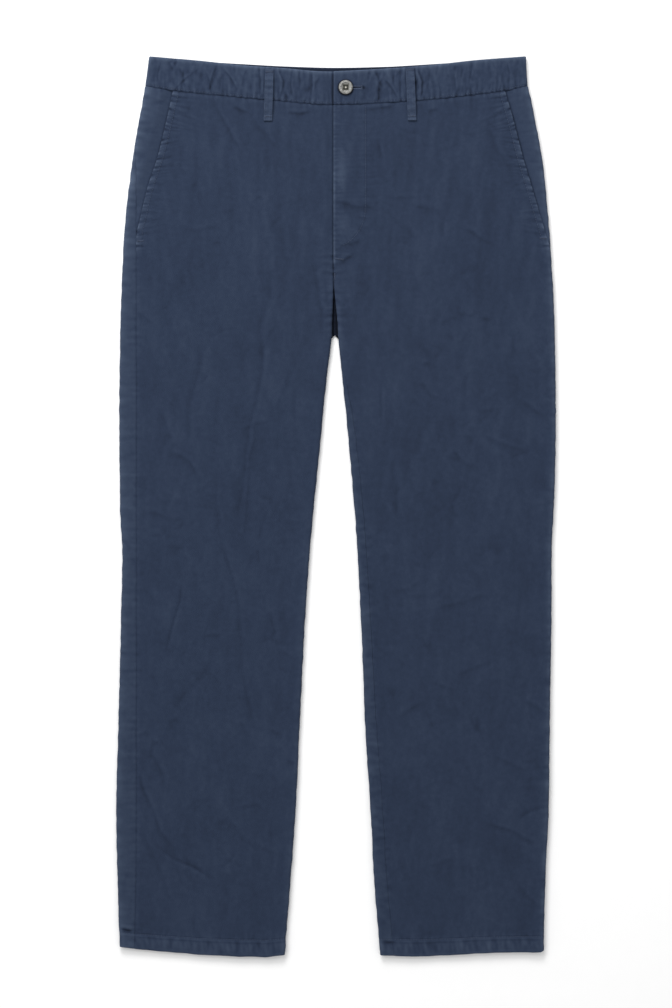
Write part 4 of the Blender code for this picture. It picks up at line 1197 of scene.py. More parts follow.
def facing_surface(half):
    """The cloth seen in a pocket's mouth: sunk under the front's edge, then beside its foot."""
    rows = graded(PANEL_TOP + SEAM_GAP + PANEL_RIM, FACING_END[half.name] - PANEL_RIM,
                  low_reach=10.0, high_reach=6.0, fine=1.0, coarse=1.4)
    lapped = 1.0 - smoothstep((rows - POCKET_LAP_END) / POCKET_LAP_FADE)
    start = half.pocket_mouth(rows) + SEAM_GAP - lapped * (POCKET_LAP + SEAM_GAP)
    end = half.side_seam(rows) - 0.5 * SEAM_GAP - PANEL_INSET
    places = spread(start + PANEL_INSET, end, fine=0.9, reach=7.0, middle=28)
    level, points, directions, x, down = half.grid(rows, places, True)
    from_mouth = places - half.pocket_mouth(level)
    rise = smoothstep((from_mouth - 1.0) / POCKET_RISE)
    to_seam = half.side_seam(level) - places
    relief = crumple(x, down, seed=11) + waist_relief(x, level - PANEL_TOP)
    relief += 0.12 * ripple(level, to_seam, period=12.0, decay=7.0, seed=25)
    relief += 0.25 * ripple(level, from_mouth, period=9.0, decay=9.0, seed=26)
    relief += crease_relief(x, down, FACING_CREASES)[0]
    relief *= 0.15 + 0.85 * rise
    drop = POCKET_DROP * (1.0 - smoothstep((level - POCKET_LAP_END - POCKET_LAP_FADE) / POCKET_DROP_FADE))
    points = displaced(points, directions, relief, 0.0 * relief)
    points[..., 2] -= drop * (1.0 - rise)
    # Painted shade in the gap under the front's edge at the pocket mouth, and a thinner line of it at the
    # side seam.
    shaded_slit = np.maximum(0.0, 1.0 + 0.8 * noise_along(level, cell=30.0, seed=27)) * groove(from_mouth, 1.8)
    wear_and_shade = 0.3 + edge_wear(half, level, places, True) - 0.9 * shaded_slit + crests(relief)
    return Surface(rows, places, points, directions, wear_and_shade - 0.25 * groove(to_seam, 1.0))


# ---------------------------------------------------------------------------- waistband and loops


BAND_RIM = 0.5 * BAND_CLOTH


def band_points(half, share, place, top_line, front):
    """Points and directions of the waistband, on the flat ring that front and back make."""
    start = half.side_edge(share * PANEL_TOP) - BAND_RADIUS
    turn = np.maximum(0.0, place - start) / BAND_RADIUS
    face = 1.0 if front else -1.0
    out = np.where(turn <= 0.0, place, start + BAND_RADIUS * np.sin(turn))
    up = face * np.cos(turn)
    x = half.side * out
    top = curve(top_line, "x", "down", x)
    foot = waist_seam(x) - 0.5 * SEAM_GAP
    points = np.stack([x, top + share * (foot - top), BAND_RADIUS + BAND_RADIUS * up], -1)
    return points, np.stack([half.side * np.sin(turn), 0.0 * turn, up], -1)


def band_shares():
    """Rows of a waistband, as shares of its depth, with room for its rounded edges."""
    rows = graded(BAND_RIM, FRONT_BAND_DEPTH - 0.6 * BAND_RIM,
                  low_reach=5.0, high_reach=6.0, fine=0.6, coarse=0.95)
    return rows / FRONT_BAND_DEPTH


def band_end(half, shares):
    """The last places of a waistband's rows, at the side seam."""
    start = half.side_edge(shares * PANEL_TOP) - BAND_RADIUS
    return start + 0.5 * math.pi * BAND_RADIUS - 0.5 * ROLLED_SEAM_GAP - 0.4 * BAND_RIM


def front_band_surface(half):
    """Half of the front waistband: the left one laps over the right one."""
    side = half.side
    shares = band_shares()
    lap = BAND_LAP if side < 0 else 0.0
    inner_end = half.centre_out(0.0) + 0.5 * SEAM_GAP - lap + BAND_RIM
    outer_end = band_end(half, shares)
    places = spread(np.full(len(shares), inner_end), outer_end, fine=0.7, reach=6.0, middle=232)
    share = np.broadcast_to(shares[:, None], places.shape)
    points, directions = band_points(half, share, places, FRONT_TOP, True)
    x, down = points[..., 0], points[..., 1]
    to_fly = places - half.centre_out(0.0)
    if side < 0:
        lift = -BAND_LAP_LIFT * smoothstep((12.0 - to_fly) / 10.0)
        free = smoothstep((to_fly - 3.0) / 10.0)
    else:
        lift = BAND_LAP_LIFT * (1.0 - smoothstep((to_fly - BAND_LAP - 3.0) / 16.0))
        free = 0.35 + 0.65 * smoothstep((to_fly - 20.0) / 20.0)
    to_top = down - front_top(x)
    to_seam = waist_seam(x) - down
    relief, wear_and_shade = crease_relief(x, down, WAISTBAND_CREASES + BAND_SMALL_CREASES, end_fade=7.0)
    relief, wear_and_shade = BAND_CREASE_DEPTH * free * relief, BAND_CREASE_DEPTH * free * wear_and_shade
    relief += crumple(x, down, seed=61)
    relief += 0.4 * ripple(x, to_seam, period=8.0, decay=9.0, seed=43)
    relief += 0.35 * ripple(x, to_top, period=10.0, decay=8.0, seed=63)
    relief -= 0.5 * np.exp(-np.maximum(to_seam, 0.0) / 1.2)
    # Small folds: paler where they stand up, where dye rubs off, and darker in their sharp valleys, partly
    # as dye that is kept and partly as painted shade.
    folds = 0.3 - np.abs(noise(x + 0.15 * down, 0.3 * down, cell=12.0, seed=66))
    folds += 0.5 * noise(x, 0.5 * down, cell=5.0, seed=67)
    folds += 0.3 * noise(x, down, cell=5.0, seed=68)
    relief += 0.16 * free * folds
    relief -= 0.2 * groove(to_seam - BAND_STITCH_UP, 0.8)
    wear_and_shade += 0.45 * free * folds
    wear_and_shade += 0.15
    wear_and_shade += 1.8 * groove(to_top - 0.6, 2.7)
    wear_and_shade += 0.3 * plateau(to_top, width=12.0, soft=12.0)
    # Painted shade along the waist seam.
    wear_and_shade -= 0.35 * groove(to_seam, 1.0)
    wear_and_shade += crests(relief)
    wear_and_shade += EDGE_WEAR[half.name] * groove(outer_end[:, None] - places, 4.0)
    if side > 0:
        # Painted shadow around the button.
        from_button = np.hypot(x - BUTTON_CENTRE.x / MM, down - BUTTON_DOWN) - BUTTON_RADIUS
        wear_and_shade -= 2.0 * groove(np.maximum(from_button, 0.0), 1.3)
    # Painted shadow beside each belt loop.
    for loop in BELT_LOOPS:
        from_loop = np.abs(x - loop.top_x - share * (loop.foot_x - loop.top_x)) - 0.5 * LOOP_WIDTH
        wear_and_shade -= 0.7 * groove(np.maximum(from_loop, 0.0), 1.2)
    if side > 0:
        # Painted shade in the buttonhole's cut and in the dent past its end.
        from_hole = np.maximum(np.abs(x - BUTTONHOLE_X) - 0.5 * BUTTONHOLE_LENGTH, 0.0)
        shaded_slit = np.exp(-((np.hypot(from_hole, down - BUTTON_DOWN) / 0.75) ** 2))
        past_end = x - BUTTONHOLE_X - 0.5 * BUTTONHOLE_LENGTH - 3.0
        dent = groove(np.hypot(past_end, down - BUTTON_DOWN), 2.1)
        relief = relief - 0.9 * shaded_slit - 0.4 * dent
        wear_and_shade = wear_and_shade - 2.0 * shaded_slit - 1.8 * dent + 0.6 * groove(to_fly, 1.8)
    else:
        # Painted shadow where the left band's end laps over this one.
        wear_and_shade -= 1.6 * groove(to_fly - 0.8, 1.8)
    points = displaced(points, directions, relief, 0.0 * relief)
    points[..., 2] += lift
    return Surface(shares * FRONT_BAND_DEPTH, places, points, directions, wear_and_shade)


def back_band_surface():
    """The back waistband, from side edge to side edge along the surface."""
    shares = band_shares()
    grids = []
    for half in HALVES:
        start = 0.5 if half.side > 0 else 0.0  # so that the two halves' middle columns don't coincide
        inner_end = np.full(len(shares), start)
        places = spread(inner_end, band_end(half, shares), fine=0.9, reach=6.0, middle=100)
        share = np.broadcast_to(shares[:, None], places.shape)
        grid = [places, *band_points(half, share, places, BACK_TOP, False)]
        grids.append([layer[:, ::-1] for layer in grid] if half.side < 0 else grid)
    (right, *right_form), (left, *left_form) = grids
    places = np.concatenate([-right, left], axis=1)
    points, directions = (np.concatenate(pair, axis=1) for pair in zip(right_form, left_form))
    x, down = points[..., 0], points[..., 1]
    relief = UNDER_CRUMPLE * crumple(x, down, seed=65)
    points = displaced(points, directions, relief, under_relief(x, down, seed=64))
    wear_and_shade = 0.0 * x + 0.15
    # The inner face is painted darker, as shade.
    return Surface(shares * BACK_BAND_DEPTH, places, points, directions, wear_and_shade, wear_and_shade - 1.35)


LOOP_COLUMNS = 17


def loop_surface(loop):
    """A strip over the waistband, seated at both ends and arched between them."""
    rim = 0.5 * LOOP_CLOTH
    rows = graded(loop.top + rim, loop.foot - rim, low_reach=8.0, high_reach=8.0, fine=0.5, coarse=0.9)
    share = ((rows - loop.top) / (loop.foot - loop.top))[:, None]
    across = np.linspace(rim - 0.5 * LOOP_WIDTH, 0.5 * LOOP_WIDTH - rim, LOOP_COLUMNS)
    places = np.broadcast_to(across, (len(rows), LOOP_COLUMNS))
    down = np.broadcast_to(rows[:, None], places.shape)
    middle = loop.top_x + share * (loop.foot_x - loop.top_x)
    x = middle + places + 0.25 * noise_along(down, cell=14.0, seed=91)
    on_panel = smoothstep((down - waist_seam(middle)) / 9.0)
    seat = BAND_HEIGHT + on_panel * (front_height(down) - BAND_HEIGHT) + LOOP_SEAT
    from_end = np.minimum(down - loop.top, loop.foot - down)
    arch = LOOP_ARCH * smoothstep((from_end - LOOP_END) / (2.0 * LOOP_END))
    relief = 0.3 * noise(x, down, cell=6.0, seed=92) + 0.35 * noise(0.2 * x, down, cell=6.0, seed=93)
    relief = relief - 0.25 * groove(np.abs(places) - LOOP_STITCH_OUT, 0.6)
    relief = relief - 0.2 * groove(places, 2.2) + 0.3 * plateau(loop.foot - down, width=7.0, soft=1.5)
    points = np.stack([x, down, seat + arch + LOOP_CLOTH + relief], -1)
    directions = np.broadcast_to([0.0, 0.0, 1.0], points.shape).copy()
    # Painted shade along the loop's long edges.
    wear_and_shade = 0.8 + crests(relief) - 0.8 * groove(0.5 * LOOP_WIDTH - np.abs(places), 0.9)
    wear_and_shade = wear_and_shade + 0.4 * groove(loop.foot - down - 2.0, 2.2) + 0.35 * groove(down - loop.top, 2.0)
    return Surface(rows, places, points, directions, wear_and_shade)


# ---------------------------------------------------------------------------- sewing

STITCH_SHAPE = (
    # share of the stitch's length, share of its radius, height over the cloth as radii
    (0.0, 0.45, -0.9),
    (0.2, 0.85, 0.2),
    (0.5, 1.0, 0.7),
    (0.8, 0.85, 0.2),
    (1.0, 0.45, -0.9),
)
STITCH_SIDES = 6


class Thread:
    """Stitches gathered into one mesh."""

    def __init__(self):
        self.points, self.count, self.quads, self.caps = [], 0, [], []

    def add(self, starts, ends, normals, radius=THREAD_RADIUS):
        """One stitch from each start to its end, lying on cloth that faces along the normals."""
        starts, ends = np.asarray(starts, float), np.asarray(ends, float)
        normals = normals / np.linalg.norm(normals, axis=-1, keepdims=True)
        along = ends - starts
        across = np.cross(along, normals)
        across /= np.maximum(np.linalg.norm(across, axis=-1, keepdims=True), 1e-9)
        rings = []
        for share, width, height in STITCH_SHAPE:
            centre = starts + share * along + height * radius * normals
            for k in range(STITCH_SIDES):
                angle = 2.0 * math.pi * k / STITCH_SIDES
                spoke = math.cos(angle) * normals + math.sin(angle) * across
                rings.append(centre + width * radius * spoke)
        grid = np.stack(rings, axis=1)
        first = self.count + np.arange(len(starts))[:, None] * grid.shape[1]
        one = np.arange(grid.shape[1]).reshape(len(STITCH_SHAPE), STITCH_SIDES)
        around = np.roll(one, -1, axis=1)
        sides = np.stack([one[:-1], one[1:], around[1:], around[:-1]], -1).reshape(-1, 4)
        self.quads.append((first[:, :, None] + sides[None]).reshape(-1, 4))
        ends_of = np.stack([one[0], one[-1, ::-1]])
        self.caps.append((first[:, :, None] + ends_of[None]).reshape(-1, STITCH_SIDES))
        self.points.append(grid.reshape(-1, 3))
        self.count += grid.shape[0] * grid.shape[1]

    def seam(self, surface, rows, places):
        """Stitches end to end along a line on a surface."""
        pitch = STITCH_PITCH
        points, normals = surface.at(rows, places)
        passed = np.concatenate([[0.0], np.cumsum(np.linalg.norm(np.diff(points, axis=0), axis=1))])
        starts = np.arange(0.3 * pitch, passed[-1] - pitch, pitch)

        def at(where, values):
            return np.stack([np.interp(where, passed, values[:, k]) for k in range(3)], -1)

        middle = starts + 0.5 * STITCH_SHARE * pitch
        self.add(at(starts, points), at(starts + STITCH_SHARE * pitch, points), at(middle, normals))

    def hem(self, surface):
        """The line of stitches that holds a panel's turned-up hem."""
        level = PANEL_HEM - HEM_DEPTH
        row = np.searchsorted(surface.rows, level)
        places = line(surface.places[row, 0] + 1.0, surface.places[row, -1] - 1.0)
        self.seam(surface, np.full(places.shape, level), places)

    def bar(self, surface, ends, half_width, pitch=0.5):
        """A bar tack: close stitches across the line between two (row, place) ends."""
        (row_a, place_a), (row_b, place_b) = ends
        length = math.hypot(row_b - row_a, place_b - place_a)
        share = np.linspace(0.0, 1.0, int(length / pitch) + 1)
        rows = row_a + share * (row_b - row_a)
        places = place_a + share * (place_b - place_a)
        across = (place_b - place_a) / length, -(row_b - row_a) / length
        slant = 0.25 * pitch
        low, _ = surface.at(rows - half_width * across[0] - slant, places - half_width * across[1])
        high, _ = surface.at(rows + half_width * across[0] + slant, places + half_width * across[1])
        _, normals = surface.at(rows, places)
        self.add(low + 0.1 * normals, high + 0.1 * normals, normals, 0.9 * THREAD_RADIUS)

    def build(self, name):
        points = world(np.concatenate(self.points))
        faces = [np.concatenate(self.quads), np.concatenate(self.caps)]
        wear_and_shade = np.full(len(points), 0.2)
        return mesh_object(name, points, faces, points, wear_and_shade)


def line(start, end):
    """Values about 1 mm apart."""
    return np.linspace(start, end, max(3, int(abs(end - start))))


def front_thread(half, surface):
    """The sewing of a front panel."""
    thread = Thread()
    tack = POCKET_TACK[half.name]
    rows = line(PANEL_TOP + 2.0, tack - 1.5)
    thread.seam(surface, rows, half.pocket_mouth(rows) - POCKET_STITCH_IN)
    last_place = surface.places[np.searchsorted(surface.rows, tack), -1]
    edge = min(float(half.pocket_mouth(tack)), last_place) - 0.8
    thread.bar(surface, ((tack, edge - 7.5), (tack + 0.6, edge)), 1.0)
    thread.hem(surface)
    if half.side > 0:
        path = np.array(FLY_STITCH, float)
        share = np.linspace(0.0, len(path) - 1.0, 200)
        x = smooth_path(path[:, 0], share)
        down = smooth_path(path[:, 1], share)
        thread.seam(surface, half.level_at(x, down), x)
        fly = float(half.centre_out(FLY_END))
        thread.bar(surface, ((FLY_END - 6.0, fly + 1.5), (FLY_END - 4.5, fly + 12.0)), 1.0)
        thread.bar(surface, ((FRONTS_PART - 4.0, fly + 1.4), (FRONTS_PART + 3.0, fly + 1.4)), 0.8)
    return thread.build(f"{half.name}_front_stitches")


def smooth_path(values, at):
    """A smooth curve through evenly spaced values (Catmull-Rom)."""
    padded = np.concatenate([[2 * values[0] - values[1]], values, [2 * values[-1] - values[-2]]])
    i = np.clip(at.astype(int), 0, len(values) - 2)
    t = at - i
    a, b, c, d = (padded[i + k] for k in range(4))
    return 0.5 * (2 * b + (c - a) * t + (2 * a - 5 * b + 4 * c - d) * t**2 + (3 * b - a - 3 * c + d) * t**3)


def back_thread(half, surface):
    """The sewing of a back panel: its hem."""
    thread = Thread()
    thread.hem(surface)
    return thread.build(f"{half.name}_back_stitches")


def band_row(x, down):
    """The waistband's row that passes through a point."""
    top, foot = front_top(x), waist_seam(x) - 0.5 * SEAM_GAP
    return FRONT_BAND_DEPTH * (down - top) / (foot - top)


def band_thread(half, surface):
    """The sewing of half of the front waistband, with the left one's buttonhole."""
    thread = Thread()
    places = line(surface.places[0, 0] + 1.5, surface.places[0, -1] - 3.0)
    x = half.side * places
    real = waist_seam(x) - front_top(x)
    thread.seam(surface, FRONT_BAND_DEPTH * (1.0 - BAND_STITCH_UP / real), places)
    if half.side > 0:
        half_length = 0.5 * BUTTONHOLE_LENGTH
        x = np.arange(BUTTONHOLE_X - half_length, BUTTONHOLE_X + half_length, 0.5)
        for way in (-1.0, 1.0):
            low, normals = surface.at(band_row(x, BUTTON_DOWN + 0.45 * way), x)
            high, _ = surface.at(band_row(x + 0.1, BUTTON_DOWN + 2.1 * way), x + 0.1)
            thread.add(low + 0.12 * normals, high + 0.12 * normals, normals, 1.1 * THREAD_RADIUS)
        end = BUTTONHOLE_X + half_length + 0.6
        centre = float(band_row(np.array(end), BUTTON_DOWN))
        thread.bar(surface, ((centre - 2.3, end), (centre + 2.3, end)), 0.9, 0.45)
    return thread.build(f"{half.name}_waistband_stitches")


def loop_thread(loop, surface):
    """The sewing of a belt loop: two lines along it, and a bar tack at each end."""
    thread = Thread()
    top, foot = surface.rows[0], surface.rows[-1]
    rows = line(top + 0.6, foot - 0.6)
    for way in (-1.0, 1.0):
        thread.seam(surface, rows, np.full(rows.shape, way * LOOP_STITCH_OUT))
    reach = 0.5 * LOOP_WIDTH - 1.2
    thread.bar(surface, ((foot - 4.6, -reach), (foot - 4.6, reach)), 0.9)
    thread.bar(surface, ((top + 2.2, -reach), (top + 2.2, reach)), 0.9)
    return thread.build(loop.name + "_stitches")


# ---------------------------------------------------------------------------- button

# The button's outer section, as (radius, height), from the middle of its underside to that of its top
BUTTON_PROFILE = (
    (0.0, 0.0), (6.9, 0.0), (7.9, 0.35), (8.4, 0.9), (8.5, 1.5), (8.35, 2.1), (7.95, 2.55),
    (7.5, 2.7), (7.2, 2.62), (6.9, 2.7), (6.5, 2.85), (6.1, 2.8), (5.7, 2.6), (5.35, 2.2),
    (5.05, 1.75), (4.6, 1.5), (3.8, 1.4), (2.6, 1.35), (0.0, 1.35),
)
BUTTON_SEGMENTS = 144
BUTTON_BEADS = 28
BEAD_RADIUS = 7.2
BEAD_REACH = 0.35
BEAD_HEIGHT = 0.2
HOLE_RADIUS = 0.95
HOLE_OUT = 1.75
HOLE_SEGMENTS = 28
STRAND_SHIFTS = (-0.42, 0.0, 0.42)
STRAND_RADIUS = 0.3


def lathe(name, profile, segments, centre, relief):
    """A solid turned about a vertical axis, with relief(radius, angle) added to its height."""
    builder = bmesh.new()
    rings = []
    for radius, height in profile:
        count = segments if radius > 0.0 else 1
        ring = []
        for k in range(count):
            angle = 2.0 * math.pi * k / segments
            lift = relief(radius, angle) if height > 1.0 else 0.0
            spot = Vector((radius * math.cos(angle), radius * math.sin(angle), height + lift))
            ring.append(builder.verts.new(centre + spot * MM))
        rings.append(ring)
    for low, high in zip(rings, rings[1:]):
        for k in range(segments):
            corners = [low[k % len(low)], low[(k + 1) % len(low)]]
            corners += [high[(k + 1) % len(high)], high[k % len(high)]]
            builder.faces.new(list(dict.fromkeys(corners)))
    bmesh.ops.recalc_face_normals(builder, faces=builder.faces)
    mesh = mesh_of(builder, name)
    mesh.shade_smooth()
    return add_object(name, mesh)


def build_button():
    """A sewn-through button with a beaded rim, a sunken middle and four holes."""
    centre = Vector((BUTTON_CENTRE.x, BUTTON_CENTRE.y, BUTTON_LOW.z))

    def beads(radius, angle):
        bead = math.exp(-(((radius - BEAD_RADIUS) / BEAD_REACH) ** 2))
        return BEAD_HEIGHT * bead * math.cos(BUTTON_BEADS * angle)

    button = lathe("waist_button_horn", BUTTON_PROFILE, BUTTON_SEGMENTS, centre, beads)
    for x, y in ((1, 1), (1, -1), (-1, 1), (-1, -1)):
        spot = centre + Vector((HOLE_OUT * x, HOLE_OUT * y, -0.5)) * MM
        section = ((0, 0), (HOLE_RADIUS, 0), (HOLE_RADIUS, 3), (0, 3))
        drill = lathe("drill", section, HOLE_SEGMENTS, spot, lambda *_: 0.0)
        cut = button.modifiers.new("hole", "BOOLEAN")
        cut.operation, cut.solver, cut.object = "DIFFERENCE", "EXACT", drill
        shape = bpy.data.meshes.new_from_object(button.evaluated_get(bpy.context.evaluated_depsgraph_get()))
        button.modifiers.clear()
        button.data = shape
        bpy.data.objects.remove(drill, do_unlink=True)
    button.data.shade_smooth()
    button.data.set_sharp_from_angle(angle=math.radians(40.0))
    return button


def button_thread():
    """Three strands between each two neighbouring holes."""
    centre = np.array([BUTTON_CENTRE.x, -BUTTON_CENTRE.y, BUTTON_LOW.z]) / MM
    centre[1] += CENTRE_DOWN
    thread = Thread()
    corners = [(1, 1), (-1, 1), (-1, -1), (1, -1)]

    def hole(own, other, strand):
        """A strand's place at its own hole: it is shifted across the line to the other hole."""
        return [(HOLE_OUT + strand if p == q else HOLE_OUT) * p for p, q in zip(own, other)] + [0.0]

    for here, there in zip(corners, corners[1:] + corners[:1]):
        for strand in STRAND_SHIFTS:
            lift = np.array([0.0, 0.0, 1.45 - 0.15 * abs(strand)])
            start = centre + hole(here, there, strand) + lift
            end = centre + hole(there, here, strand) + lift
            thread.add([start], [end], np.array([[0.0, 0.0, 1.0]]), STRAND_RADIUS)
    return thread.build("waist_button_thread")


# ---------------------------------------------------------------------------- materials


class Graph:
    """A material's nodes, each added in one line."""

    def __init__(self, name):
        self.material = bpy.data.materials.new(name)
        self.material.use_nodes = True
        self.tree = self.material.node_tree
        self.shader = self.tree.nodes["Principled BSDF"]

    def add(self, kind, values=(), **settings):
        """A node with its settings and its sockets' values or links; returns the node."""
        node = self.tree.nodes.new("ShaderNode" + kind)
        for name, value in settings.items():
            setattr(node, name, value)
        for socket, value in dict(values).items():
            self.feed(node.inputs[socket], value)
        return node

    def feed(self, socket, value):
        if isinstance(value, bpy.types.NodeSocket):
            self.tree.links.new(value, socket)
        else:
            socket.default_value = value

    def math(self, operation, *values, clamp=False):
        return self.add("Math", enumerate(values), operation=operation, use_clamp=clamp).outputs[0]

    def noise(self, vector, scale, detail=2.0, roughness=0.5):
        values = {"Vector": vector, "Scale": scale, "Detail": detail, "Roughness": roughness}
        return self.add("TexNoise", values).outputs["Fac"]

    def scaled(self, vector, scale):
        node = self.add("VectorMath", {0: vector, 1: scale}, operation="MULTIPLY")
        return node.outputs[0]

    def mix(self, share, low, high):
        node = self.add("Mix", {"Factor": share}, data_type="RGBA")
        self.feed(node.inputs[6], low)
        self.feed(node.inputs[7], high)
        return node.outputs[2]

    def ramp(self, value, low, high):
        """0 below low and 1 above high."""
        values = {"Value": value, "From Min": low, "From Max": high}
        return self.add("MapRange", values).outputs["Result"]

    def finish(self, inputs):
        """Give the shader its inputs' values or links; returns the material."""
        for name, value in inputs.items():
            self.feed(self.shader.inputs[name], value)
        return self.material

    def bump(self, height, distance, strength, below=None):
        values = {"Height": height, "Distance": distance, "Strength": strength}
        if below is not None:
            values["Normal"] = below
        return self.add("Bump", values).outputs["Normal"]


def rgba(colour, factor=1.0):
    return (*(factor * part for part in colour), 1.0)


# Lengths of the materials' patterns are in metres
TWILL_PITCH = 0.00062
YARN_PITCH = 0.00031
TWILL_SLOPE = 0.62
TWIST_PITCH = 0.00045


def twill(name):
    """Washed navy cotton twill: steep diagonal lines, slubs, and dye that fades on crests, with painted
    shade darkening it in valleys, seams and gaps.
    """
    graph = Graph(name)
    grain = graph.add("Attribute", attribute_name="grain").outputs["Vector"]
    wear_and_shade = graph.add("Attribute", attribute_name="wear_and_shade").outputs["Fac"]
    parts = graph.add("SeparateXYZ", {0: grain})
    u, v = parts.outputs[0], parts.outputs[1]

    slubs = graph.noise(graph.scaled(grain, (1500.0, 170.0, 1.0)), scale=1.0, detail=2.0)
    cross_slubs = graph.noise(graph.scaled(grain, (190.0, 1300.0, 1.0)), scale=1.0, detail=2.0)
    sway = graph.noise(grain, scale=60.0, detail=2.0)
    rise = graph.math("MULTIPLY_ADD", v, TWILL_SLOPE, u)
    steps = graph.math("DIVIDE", rise, TWILL_PITCH)
    steps = graph.math("MULTIPLY_ADD", sway, 2.2, steps)
    ridges = graph.math("SINE", graph.math("MULTIPLY", steps, 2.0 * math.pi))
    yarns = graph.math("SINE", graph.math("MULTIPLY", v, 2.0 * math.pi / YARN_PITCH))
    weave = graph.math("MULTIPLY_ADD", yarns, 0.22, ridges)
    weave = graph.math("MULTIPLY_ADD", slubs, 1.3, weave)
    weave = graph.math("MULTIPLY_ADD", cross_slubs, 0.8, weave)

    mottle = graph.noise(grain, scale=150.0, detail=5.0, roughness=0.7)
    clouds = graph.noise(grain, scale=14.0, detail=3.0)
    fade = graph.math("MULTIPLY_ADD", mottle, 1.1, -0.55)
    fade = graph.math("ADD", graph.math("MULTIPLY_ADD", clouds, 0.9, -0.45), fade)
    fade = graph.math("ADD", graph.math("MULTIPLY_ADD", slubs, 0.5, -0.25), fade)
    fade = graph.math("MULTIPLY_ADD", ridges, 0.08, fade)
    # The mesh's per-point value: above 0 dye rubbed off, below 0 dye kept and painted shade, which darkens
    # towards the near-black navy.
    fade = graph.math("ADD", wear_and_shade, fade)
    pale = graph.math("MULTIPLY", fade, 0.33, clamp=True)
    shade_share = graph.math("MULTIPLY", fade, -0.5, clamp=True)
    colour = graph.mix(pale, rgba(NAVY), rgba(NAVY_WORN))
    colour = graph.mix(shade_share, colour, rgba(NAVY_SHADE))

    pills = graph.noise(grain, scale=900.0, detail=3.0, roughness=0.7)
    normal = graph.bump(pills, distance=0.00012, strength=0.5)
    normal = graph.bump(weave, distance=0.00007, strength=0.7, below=normal)
    return graph.finish({
        "Base Color": colour,
        "Normal": normal,
        "Roughness": graph.math("MULTIPLY_ADD", slubs, 0.12, 0.82),
        "Specular IOR Level": 0.1,
        "Sheen Weight": 0.05,
        "Sheen Roughness": 0.45,
        "Sheen Tint": (0.62, 0.7, 0.9, 1.0),
    })


def thread_material(name, colour):
    """Twisted polyester thread."""
    graph = Graph(name)
    place = graph.add("TexCoord").outputs["Object"]
    twist = graph.add("SeparateXYZ", {0: place})
    turns = graph.math("ADD", twist.outputs[0], twist.outputs[1])
    strands = graph.math("SINE", graph.math("MULTIPLY", turns, 2.0 * math.pi / TWIST_PITCH))
    shade = graph.ramp(graph.noise(place, scale=260.0, detail=2.0), low=0.3, high=0.7)
    return graph.finish({
        "Base Color": graph.mix(shade, rgba(colour, 0.85), rgba(colour, 1.2)),
        "Normal": graph.bump(strands, distance=0.00006, strength=0.8),
        "Roughness": 0.6,
        "Specular IOR Level": 0.3,
    })


def horn():
    """Mottled grey-beige horn, with its sunken middle and the outer side of its rim painted dark as shade.
    """
    graph = Graph("button_horn")
    place = graph.add("TexCoord").outputs["Object"]
    centre = (BUTTON_CENTRE.x, BUTTON_CENTRE.y, 0.0)
    from_centre = graph.add("VectorMath", {0: place, 1: centre}, operation="SUBTRACT").outputs[0]
    flat = graph.scaled(from_centre, (1.0, 1.0, 0.0))
    radius = graph.add("VectorMath", {0: flat}, operation="LENGTH").outputs["Value"]
    cloud = graph.noise(place, scale=420.0, detail=4.0, roughness=0.6)
    parts = graph.add("SeparateXYZ", {0: flat})
    square = graph.math("MAXIMUM", *(graph.math("ABSOLUTE", parts.outputs[k]) for k in (0, 1)))
    square = graph.math("MULTIPLY_ADD", cloud, 0.0012, square)
    rim = graph.ramp(square, low=0.0040, high=0.0050)
    stretched = graph.scaled(place, (900.0, 1300.0, 260.0))
    streaks = graph.noise(stretched, scale=1.0, detail=4.0, roughness=0.65)
    pale = graph.mix(graph.ramp(streaks, low=0.4, high=0.6), rgba(HORN_PALE), rgba(HORN_GREY))
    # Painted shade on the rim's outer side.
    edge = graph.ramp(radius, low=0.0070, high=0.0086)
    pale = graph.mix(edge, pale, rgba(HORN_SIDE_SHADE))
    # Painted shade in the sunken middle, mottled, with a pale spot of horn at its centre.
    dark = graph.mix(cloud, rgba(HORN_SHADE), rgba(HORN_SHADE_BROWN))
    dark = graph.mix(graph.ramp(radius, low=0.0019, high=0.0008), dark, rgba(HORN_SPOT))
    return graph.finish({
        "Base Color": graph.mix(rim, dark, pale),
        "Roughness": graph.math("MULTIPLY_ADD", streaks, 0.2, 0.3),
        "Normal": graph.bump(streaks, distance=0.00005, strength=0.5),
    })


def floor_material():
    """Matt pale paper."""
    graph = Graph("floor_paper")
    place = graph.add("TexCoord").outputs["Object"]
    tone = graph.noise(place, scale=35.0, detail=3.0)
    return graph.finish({
        "Base Color": graph.mix(tone, rgba(PAPER_LOW), rgba(PAPER_HIGH)),
        "Roughness": 0.9,
        "Specular IOR Level": 0.1,
    })


# ---------------------------------------------------------------------------- floor, light, camera

# In metres and watts, and the lens and its sensor in millimetres
FLOOR_SIDE = 14.0
FLOOR_DROP = 0.0004
PICTURE_HEIGHT = 1.1995
PICTURE_CENTRE = (0.0, 0.0031)
LENS = 100.0
SENSOR = 36.0
Light = namedtuple("Light", "name location size power")
LIGHTS = (
    Light("key", (-0.55, 2.2, 1.45), (1.6, 1.0), 57.0),
    Light("fill", (-2.2, 1.2, 2.2), (1.2, 1.2), 24.0),
)
WORLD_STRENGTH = 0.72


def add_floor():
    builder = bmesh.new()
    bmesh.ops.create_grid(builder, x_segments=2, y_segments=2, size=0.5 * FLOOR_SIDE)
    mesh = mesh_of(builder, "floor")
    mesh.materials.append(floor_material())
    floor = add_object("floor", mesh)
    floor.location.z = -FLOOR_DROP


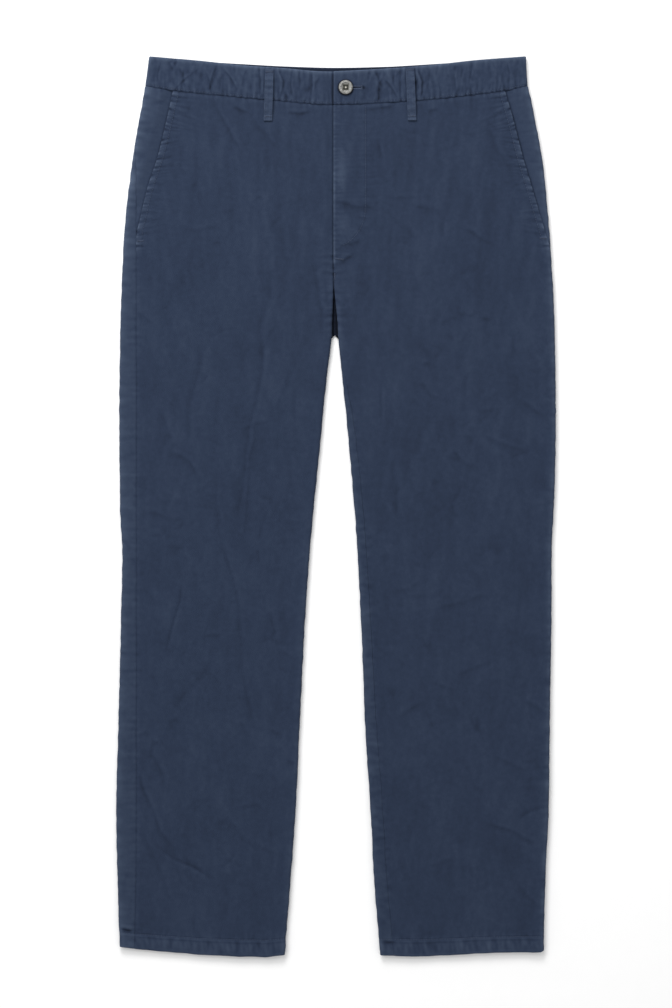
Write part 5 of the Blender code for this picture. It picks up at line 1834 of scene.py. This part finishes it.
def add_light(lamp):
    """A soft lamp that points at the trousers' middle."""
    data = bpy.data.lights.new(lamp.name, "AREA")
    data.shape, data.size, data.size_y = "RECTANGLE", *lamp.size
    data.energy = lamp.power
    light = add_object(lamp.name, data)
    light.location = lamp.location
    light.rotation_euler = (-Vector(lamp.location)).to_track_quat("-Z", "Y").to_euler()


def add_camera():
    data = bpy.data.cameras.new("camera")
    data.sensor_fit = "VERTICAL"
    data.sensor_height = SENSOR
    data.lens = LENS
    camera = add_object("camera", data)
    camera.location = (*PICTURE_CENTRE, PICTURE_HEIGHT * LENS / SENSOR)
    bpy.context.scene.camera = camera


def add_world():
    studio = bpy.data.worlds.new("studio")
    studio.use_nodes = True
    background = studio.node_tree.nodes["Background"]
    background.inputs["Color"].default_value = (1.0, 1.0, 1.0, 1.0)
    background.inputs["Strength"].default_value = WORLD_STRENGTH
    bpy.context.scene.world = studio


# ---------------------------------------------------------------------------- the whole


def finish_piece(piece, material, node=None):
    """Give a piece its material and its body, and hide the solid's node that it stands in for."""
    piece.data.materials.clear()
    piece.data.materials.append(material)
    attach(piece, "root")
    if node:
        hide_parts(node)


def add_cloth(node, surface, wall, step, stitches=()):
    slot = frame_slots[node]
    cloth = shell(node + "_cloth", surface, wall, step)
    finish_piece(cloth, looks[slot], node)
    for sewing in stitches:
        finish_piece(sewing, thread_look)
    width, length, area = surface.cut(0.5 * float(np.min(wall)))
    return cloth


SLOTS = {
    "front_panel": "front_twill",
    "back_panel": "back_twill",
    "pocket_facing": "facing_twill",
    "front_waistband": "waistband_twill",
    "front_belt_loop": "belt_loop_twill",
}
frame_slots = {f"{half.name}_{part}": slot for half in HALVES for part, slot in SLOTS.items()}
frame_slots["back_waistband"] = "waistband_twill"
looks = {slot: twill(slot) for slot in sorted(SLOTS.values())}
thread_look = thread_material("thread", THREAD)

add_floor()
for half in HALVES:
    back = back_surface(half)
    extra = hem_extra(PANEL_HEM - back.rows)[:, None]
    back_cloth = add_cloth(f"{half.name}_back_panel", back, CLOTH + extra, step=4,
                           stitches=[back_thread(half, back)])
    add_cloth(f"{half.name}_pocket_facing", facing_surface(half), CLOTH, step=4)
    front = front_surface(half)
    extra = hem_extra(PANEL_HEM - front.rows)[:, None]
    add_cloth(f"{half.name}_front_panel", front, CLOTH + 2.0 * extra, step=5,
              stitches=[front_thread(half, front)])
back_band = add_cloth("back_waistband", back_band_surface(), BAND_CLOTH, step=3)
for half in HALVES:
    band = front_band_surface(half)
    add_cloth(f"{half.name}_front_waistband", band, BAND_CLOTH, step=4,
              stitches=[band_thread(half, band)])
for loop in BELT_LOOPS:
    strip = loop_surface(loop)
    add_cloth(loop.name, strip, LOOP_CLOTH, step=4,
              stitches=[loop_thread(loop, strip)])
finish_piece(build_button(), horn(), "waist_button")
finish_piece(button_thread(), thread_material("button_thread", BUTTON_THREAD))

add_world()
for lamp in LIGHTS:
    add_light(lamp)
add_camera()
bpy.context.scene.view_settings.view_transform = "Standard"
